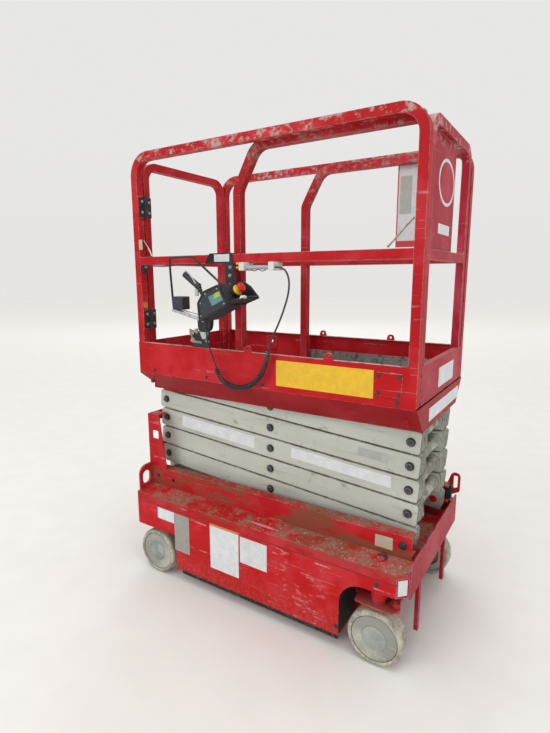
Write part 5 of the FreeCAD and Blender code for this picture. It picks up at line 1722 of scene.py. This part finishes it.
def swept(points: Sequence[Point3], steps: int = 8) -> list[Vector]:
    """A smooth run of points through a few given ones.

    Args:
        points: places that the run passes, in millimetres.
        steps: points made between two given ones.

    Returns:
        The smooth run.
    """
    given = [Vector(p) for p in points]
    ends = [given[0] * 2 - given[1], *given, given[-1] * 2 - given[-2]]
    run = []
    for a, b, c, d in zip(ends, ends[1:], ends[2:], ends[3:]):
        for k in range(steps):
            t = k / steps
            square, cube = (a * 2 - b * 5 + c * 4 - d) * t ** 2, (b * 3 - a - c * 3 + d) * t ** 3
            run.append(0.5 * (b * 2 + (c - a) * t + square + cube))
    run.append(given[-1])
    return run


@dataclass
class ControlSet(Trim):
    """The hand control: a dark box with a grip, a mushroom stop knob, a hoop and its shelf."""

    def case(self) -> None:
        """The slanted case with its lid seam, its screws and the sticker."""
        side = [(-185, 1326), (-152, 1373), (-78, 1400), (-32, 1323), (-177, 1252)]
        body = Form().prism(rounded(side, 7.0), Axis.Y, -455.0, -341.0)
        piece = self.keep(body, "control_case", "platform", "dark_box", 3.5)
        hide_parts("control_box")
        inner = [(-178, 1326), (-149, 1366), (-81, 1391), (-43, 1326), (-172, 1262)]
        rim = Form().prism(rounded(side, 7.0), Axis.Y, -457.6, -453.0, rounded(inner, 5.0))
        self.keep(rim, "case_rim", "platform", "black_plastic", 0.8)
        lip = Form().prism(rounded([(-80, 1398), (-72, 1402), (-24, 1321), (-33, 1317)], 1.5), Axis.Y, -452.0,
                           -343.0)
        self.keep(lip, "case_lip", "platform", "black_plastic", 0.8)
        whole = [(-129, 1351), (-74, 1374), (-56, 1341), (-110, 1317)]
        part = [(-97, 1364.4), (-74, 1374), (-65, 1357.5), (-101, 1343)]
        self.sheets.lay(Axis.Y, "platform", "case_sticker", whole, -455.2, "sheet_teal", 0.7, 2.0)
        self.sheets.lay(Axis.Y, "platform", "case_sticker_half", part, -455.8, "sheet_lime", 0.6, 1.0)
        screws = on_near_face(-455.0, [(-168, 1276), (-169, 1326), (-143, 1362), (-86, 1383), (-52, 1328)])
        self.bolts.place("case_screws", "platform", screws, self.palette["zinc"], (2.6, 1.4), (3.4, 0.4), 16, 41)

    def guard(self) -> None:
        """The pointed guard round the stop knob and its floor."""
        wall = [(-78, 1397), (-62, 1409), (-38, 1410), (-6, 1392), (31, 1352), (33, 1345), (-34, 1320)]
        form = Form().prism(rounded(wall, 3.0), Axis.Y, -348.5, -341.0)
        form.prism(rounded([(-38, 1321), (32, 1346), (32, 1352), (-40, 1327)], 1.5), Axis.Y, -449.0, -344.0)
        self.keep(form, "knob_guard", "platform", "black_plastic", 1.5)
        lip = Form().tube(swept([(-40, -450, 1328), (-4, -449, 1342), (20, -440, 1350), (32, -425, 1353),
                                 (36, -395, 1353), (33, -360, 1351)]), 3.2, 10)
        self.keep(lip, "guard_lip", "platform", "black_plastic")
        tip = Form().prism(rounded([(14, 1346), (33, 1348), (34, 1356), (20, 1360)], 2.0), Axis.Y, -447.0, -424.0)
        self.keep(tip, "guard_tip", "platform", "white_plastic", 1.2)

    def knob(self) -> None:
        """Neck, yellow ring and red mushroom."""
        foot, way = (-55.0, -398.0, 1361.5), (77.0, 0.0, 46.0)
        neck = Form().lathe([(0.0, 0.0), (15.0, 0.0), (15.0, 20.0), (13.5, 26.0), (0.0, 26.0)], foot, way, 36)
        self.keep(neck, "knob_neck", "platform", "black_plastic")
        ring = Form().lathe([(0.0, 26.0), (20.0, 26.0), (21.0, 27.2), (21.0, 33.5), (19.4, 36.0), (11.0, 36.0),
                             (9.0, 43.0), (0.0, 43.0)], foot, way, 40)
        ring.done("knob_ring", "platform", self.palette["stop_yellow"], angle=40.0)
        cap = Form().lathe([(0.0, 44.0), (14.5, 44.0), (18.0, 46.0), (19.0, 49.0), (18.7, 53.0), (17.0, 56.5),
                            (13.0, 58.8), (7.0, 59.7), (0.0, 60.0)], foot, way, 40)
        piece = cap.done("stop_cap", "platform", self.palette["stop_red"], angle=60.0)
        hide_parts("stop_button")

    def grip(self) -> None:
        """Ribbed grip, its boot and lever, with a silver plate and rod painted as the highlights on the stem and
        along the grip.
        """
        start, end = Vector((-282.0, -418.0, 1440.0)), Vector((-206.0, -418.0, 1388.0))
        way = end - start
        length = way.length
        profile = [(0.0, 0.0), (8.0, 0.6), (11.5, 3.0)]
        at = 5.0
        while at < length - 12.0:
            profile += [(12.6, at), (12.6, at + 3.4), (11.0, at + 4.2), (11.0, at + 6.0)]
            at += 7.0
        profile += [(13.6, length - 6.0), (13.6, length - 1.0), (0.0, length)]
        Form().lathe(profile, start, way, 28).done("hand_grip", "platform", self.palette["cable_rubber"])
        boot = Form().lathe([(0.0, 0.0), (13.8, 0.0), (14.6, 5.0), (11.0, 9.0), (12.2, 15.0), (9.0, 20.0),
                             (10.0, 26.0), (7.2, 31.0), (7.2, 78.0), (0.0, 78.0)], (-214.0, -418.0, 1396.0),
                            (44.0, 0.0, -66.0), 28)
        self.keep(boot, "grip_boot", "platform", "cable_rubber")
        # Silver plate on the stem: a painted highlight.
        stem_highlight = Form().prism(rounded(box_outline(-211.0, 1352.0, -196.0, 1380.0), 3.0), Axis.Y, -437.0, -431.0)
        self.keep(stem_highlight, "stem_highlight_plate", "platform", "silver_bracket", 0.8)
        # Silver rod along the upper side of the grip: a painted highlight line.
        grip_highlight = Form().tube(swept([(-268, -426, 1450), (-248, -432, 1444), (-226, -433, 1424),
                                     (-212, -430, 1400)]), 3.0, 10)
        self.keep(grip_highlight, "grip_highlight_rod", "platform", "silver_bracket")

    def carrier(self) -> None:
        """Hoop, shelf and the small case under the grip."""
        hoop = swept([(-341, -423.5, 1298), (-349, -423.5, 1400), (-354, -423.5, 1484), (-347, -423.5, 1502),
                      (-300, -423.5, 1505.4), (-240, -423.5, 1505.2), (-222, -423.5, 1500), (-150, -423.5, 1446),
                      (-86, -423.5, 1399)])
        Form().tube(hoop, 4.4, 12).done("control_hoop", "platform", self.palette["black_steel"])
        shelf = Form()
        for low, high in ((-429.5, -411.0), (-379.0, -360.5)):
            shelf.prism([(-345.0, 1289.5), (-345.0, 1294.5), (-177.0, 1264.5), (-177.0, 1259.5)], Axis.Y, low,
                        high)
        shelf.prism([(-345.0, 1289.5), (-345.0, 1294.5), (-320.0, 1290.0), (-320.0, 1285.0)], Axis.Y, -411.0,
                    -379.0)
        shelf.prism([(-345.0, 1287.0), (-345.0, 1297.0), (-177.0, 1268.0), (-177.0, 1250.0)], Axis.Y, -431.0,
                    -428.0)
        self.keep(shelf, "control_shelf", "platform", "silver_bracket", 0.8)
        small = Form().prism(rounded(box_outline(-343.5, 1294.5, -288.5, 1348.5), 5.0), Axis.Y, -427.5, -382.5)
        self.keep(small, "small_case", "platform", "dark_box", 2.0)
        socket = Form().lathe([(0.0, 0.0), (7.0, 0.0), (7.0, 9.0), (8.0, 10.0), (8.0, 15.9), (0.0, 15.9)],
                              (-165.0, -428.0, 1246.1), UP, 24)
        self.keep(socket, "cable_gland", "platform", "black_plastic")

    def bracket(self) -> None:
        """Label, bolts and the bits held by the bracket."""
        self.sheets.lay(Axis.Y, "platform", "bracket_label", box_outline(-189, 1487, -112, 1516), -339.5,
                        "sheet_clean", 0.6, 2.0)
        bolts = on_near_face(-339.5, [(-110.0, 1432.0), (-108.0, 1464.0), (-112.0, 1395.0)])
        self.bolts.place("bracket_bolts", "platform", bolts, self.palette["zinc"], (5.0, 4.0), (7.5, 1.2), 6, 42)
        ties = Form()
        for z in (1463.0, 1478.0):
            ties.prism(rounded(box_outline(-78.0, z - 4.0, -66.0, z + 4.0), 1.5), Axis.Y, -341.5, -334.6)
        self.keep(ties, "cable_ties", "platform", "stop_yellow", 0.8)

    def clamps(self) -> None:
        """White clamps and grey tube under the middle rail."""
        blocks = Form()
        for x in (-34.0, 102.0):
            blocks.prism(rounded(box_outline(x - 12.0, 1450.0, x + 12.0, 1482.0), 4.0), Axis.Y, -368.5, -300.5)
        piece = self.keep(blocks, "white_clamps", "platform", "white_plastic", 2.0)
        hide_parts("cable_clamps")
        tube = Form().tube([Vector((x, -350.5, 1462.0)) for x in (-22.5, 0.0, 30.0, 60.0, 90.5)], 7.9, 20)
        self.keep(tube, "clamp_tube", "platform", "grey_tube")
        twine = Form().tube(swept([(10, -358, 1452), (24, -360, 1449), (40, -358, 1454), (58, -360, 1448),
                                   (74, -357, 1453)]), 1.6, 6)
        self.keep(twine, "clamp_twine", "platform", "cable_rubber")

    def hanger(self) -> None:
        """The hooked plate and wing on their dark block, which stands on the toe board under the control box."""
        hook = [(-336, 1208), (-312, 1202), (-300, 1210), (-288, 1211), (-288, 1191), (-299, 1189), (-307, 1194),
                (-322, 1187), (-320, 1175), (-311, 1168), (-302, 1158), (-281, 1158), (-266, 1155), (-268, 1147),
                (-320, 1149), (-333, 1154), (-328, 1163), (-324, 1175), (-334, 1186)]
        plate = Form().prism(rounded(hook, 2.5), Axis.Y, -341.4, -335.4)
        plate.prism(rounded([(-248, 1166), (-239, 1167), (-226, 1160), (-227, 1153), (-241, 1154), (-250, 1160)],
                            2.0), Axis.Y, -341.4, -335.4)
        self.keep(plate, "hanger_hook", "platform", "tan_bracket", 1.0)
        block = Form().prism(rounded([(-318, 1128.8), (-238, 1128.8), (-234, 1170), (-232, 1198), (-318, 1198)],
                                     3.0), Axis.Y, -335.4, -322.0)
        block.prism(rounded([(-284, 1256), (-282, 1216), (-275, 1200), (-240, 1197), (-222, 1206), (-214, 1226),
                             (-212, 1256)], 5.0), Axis.Y, -346.0, -322.0)
        self.keep(block, "hanger_block", "platform", "black_plastic", 2.0)
        wing = Form().prism(rounded([(-277, 1197), (-231, 1199), (-233, 1178), (-250, 1168), (-262, 1166),
                                     (-270, 1180)], 2.0), Axis.Y, -341.4, -335.4)
        self.keep(wing, "hanger_wing", "platform", "silver_bracket", 0.8)
        bolts = on_near_face(-341.4, [(-329.0, 1201.0), (-240.0, 1194.0), (-238.0, 1160.0)])
        self.bolts.place("hanger_bolts", "platform", bolts, self.palette["zinc"], (3.0, 2.5), (4.5, 0.9), 6, 43)

    def build(self) -> None:
        """Make all of it."""
        self.case()
        self.guard()
        self.knob()
        self.grip()
        self.carrier()
        self.bracket()
        self.clamps()
        self.hanger()


@dataclass
class RailTrim(Trim):
    """Weld beads, the instruction board and small fittings of the guard rails."""

    def board(self) -> None:
        """The blank instruction board on the far rail."""
        lay = self.sheets.lay
        back = Form().prism(rounded(box_outline(345, 1556, 520, 1952), 4.0), Axis.Y, 296.6, 297.6)
        self.keep(back, "board_back", "platform", "sheet_red")
        lay(Axis.Y, "platform", "board_sheet", box_outline(351, 1584, 514, 1918), 296.6, "sheet_clean", -0.6, 3.0)
        lay(Axis.Y, "platform", "board_panel", box_outline(358, 1700, 410, 1860), 296.0, "sheet_faint", -0.5, 2.0)

    def welds(self) -> None:
        """Beads where rails meet posts."""
        form = Form()
        for y in (-300.5, -334.5, 300.5, 334.5):
            for x in (-622.5, 622.5):
                run = [Vector((x, y + (0.6 if y < 0 else -0.6), z)) for z in (1482.0, 1493.0, 1505.0, 1516.0)]
                form.tube(run, 2.0, 6)
        self.keep(form, "rail_welds", "platform", "red_rail")

    def build(self) -> None:
        """Make all of it."""
        self.board()
        self.welds()
        wire = Form().tube(swept([(-653, -303, 1621), (-622, -306, 1586), (-590, -308, 1548),
                                  (-572, -310, 1520)]), 3.0, 8)
        self.keep(wire, "post_stay", "platform", "zinc")
        line = Form().tube(swept([(-622, -331, 1478), (-560, -333, 1476), (-480, -332, 1473), (-380, -333, 1477),
                                  (-240, -333, 1475)]), 2.4, 8)
        self.keep(line, "rail_line", "platform", "cable_rubber")
        rod = Form().tube(swept([(514, -275, 1525), (546, -277, 1558), (578, -277, 1594), (602, -275, 1618)]),
                          3.6, 10)
        self.keep(rod, "stay_rod", "sliding_deck", "zinc")


class Lift:
    """The whole lift: gives every construction node its finish and builds the trim."""

    coats = {
        "chassis_frame": "red_chassis", "side_ledges": "red_ledge", "side_covers": "red_cover",
        "end_plates": "red_front", "step_columns": "red_chassis", "battery_and_pump_blocks": "battery_case",
        "jack_barrel": "black_steel", "jack_rod": "chrome", "knuckle_left": "red_steering",
        "knuckle_right": "red_steering", "track_rod": "red_steering", "platform_floor": "deck_steel",
        # The underframe's red is darkened as painted shade.
        "platform_underframe": "red_skirt_shaded", "toe_boards": "red_toe_board", "guard_rail_left": "red_rail",
        "guard_rail_right": "red_rail", "sliding_deck": "deck_steel", "front_toe_board": "red_front",
        "sliding_side_rails": "red_sliding_rail", "sliding_front_frame": "red_front", "gate_frame": "red_gate",
        "control_bracket": "black_steel",
    }

    def __init__(self, palette: Palette) -> None:
        """Keep the finishes and make the shared makers.

        Args:
            palette: the finishes.
        """
        self.palette = palette
        self.bolts = BoltField()
        self.tread = TreadPlate()
        self.sheets = Sheet(palette)

    def coat_nodes(self, nodes: dict[str, Piece]) -> None:
        """Give each construction node its finish.

        Args:
            nodes: the frame's nodes by name.
        """
        for name, node in nodes.items():
            finish = self.coats.get(name, "arm_grey")
            if name in ("outer_arms_1", "inner_arms_1"):
                finish = "arm_grey_low"
            node.data.materials.clear()
            node.data.materials.append(self.palette[finish])

    def build(self, nodes: dict[str, Piece]) -> None:
        """Coat the nodes and build each sub-assembly.

        Args:
            nodes: the frame's nodes by name.
        """
        ControlCable(self.palette).build()
        self.coat_nodes(nodes)
        shared = (self.palette, self.sheets, self.bolts)
        ChassisTrim(*shared).build()
        for end, x, steered in (("front", FRONT_AXLE_X, True), ("rear", REAR_AXLE_X, False)):
            for name, side in (("left", -1.0), ("right", 1.0)):
                WheelTrim(self.palette, f"wheel_{end}_{name}", side, x, steered).build()
        ArmTrim(*shared).build()
        PlatformTrim(*shared, self.tread).build()
        GateTrim(*shared).build()
        ControlSet(*shared).build()
        RailTrim(*shared).build()


def main() -> None:
    """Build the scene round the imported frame."""
    logging.basicConfig(level=logging.INFO, format="%(levelname)s %(name)s: %(message)s")
    for old in list(bpy.data.objects):
        bpy.data.objects.remove(old)
    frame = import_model()
    studio = Studio()
    studio.build_camera()
    palette = Palette()
    Lift(palette).build(frame["nodes"])
    studio.build(palette)


if __name__ == "__main__":
    main()
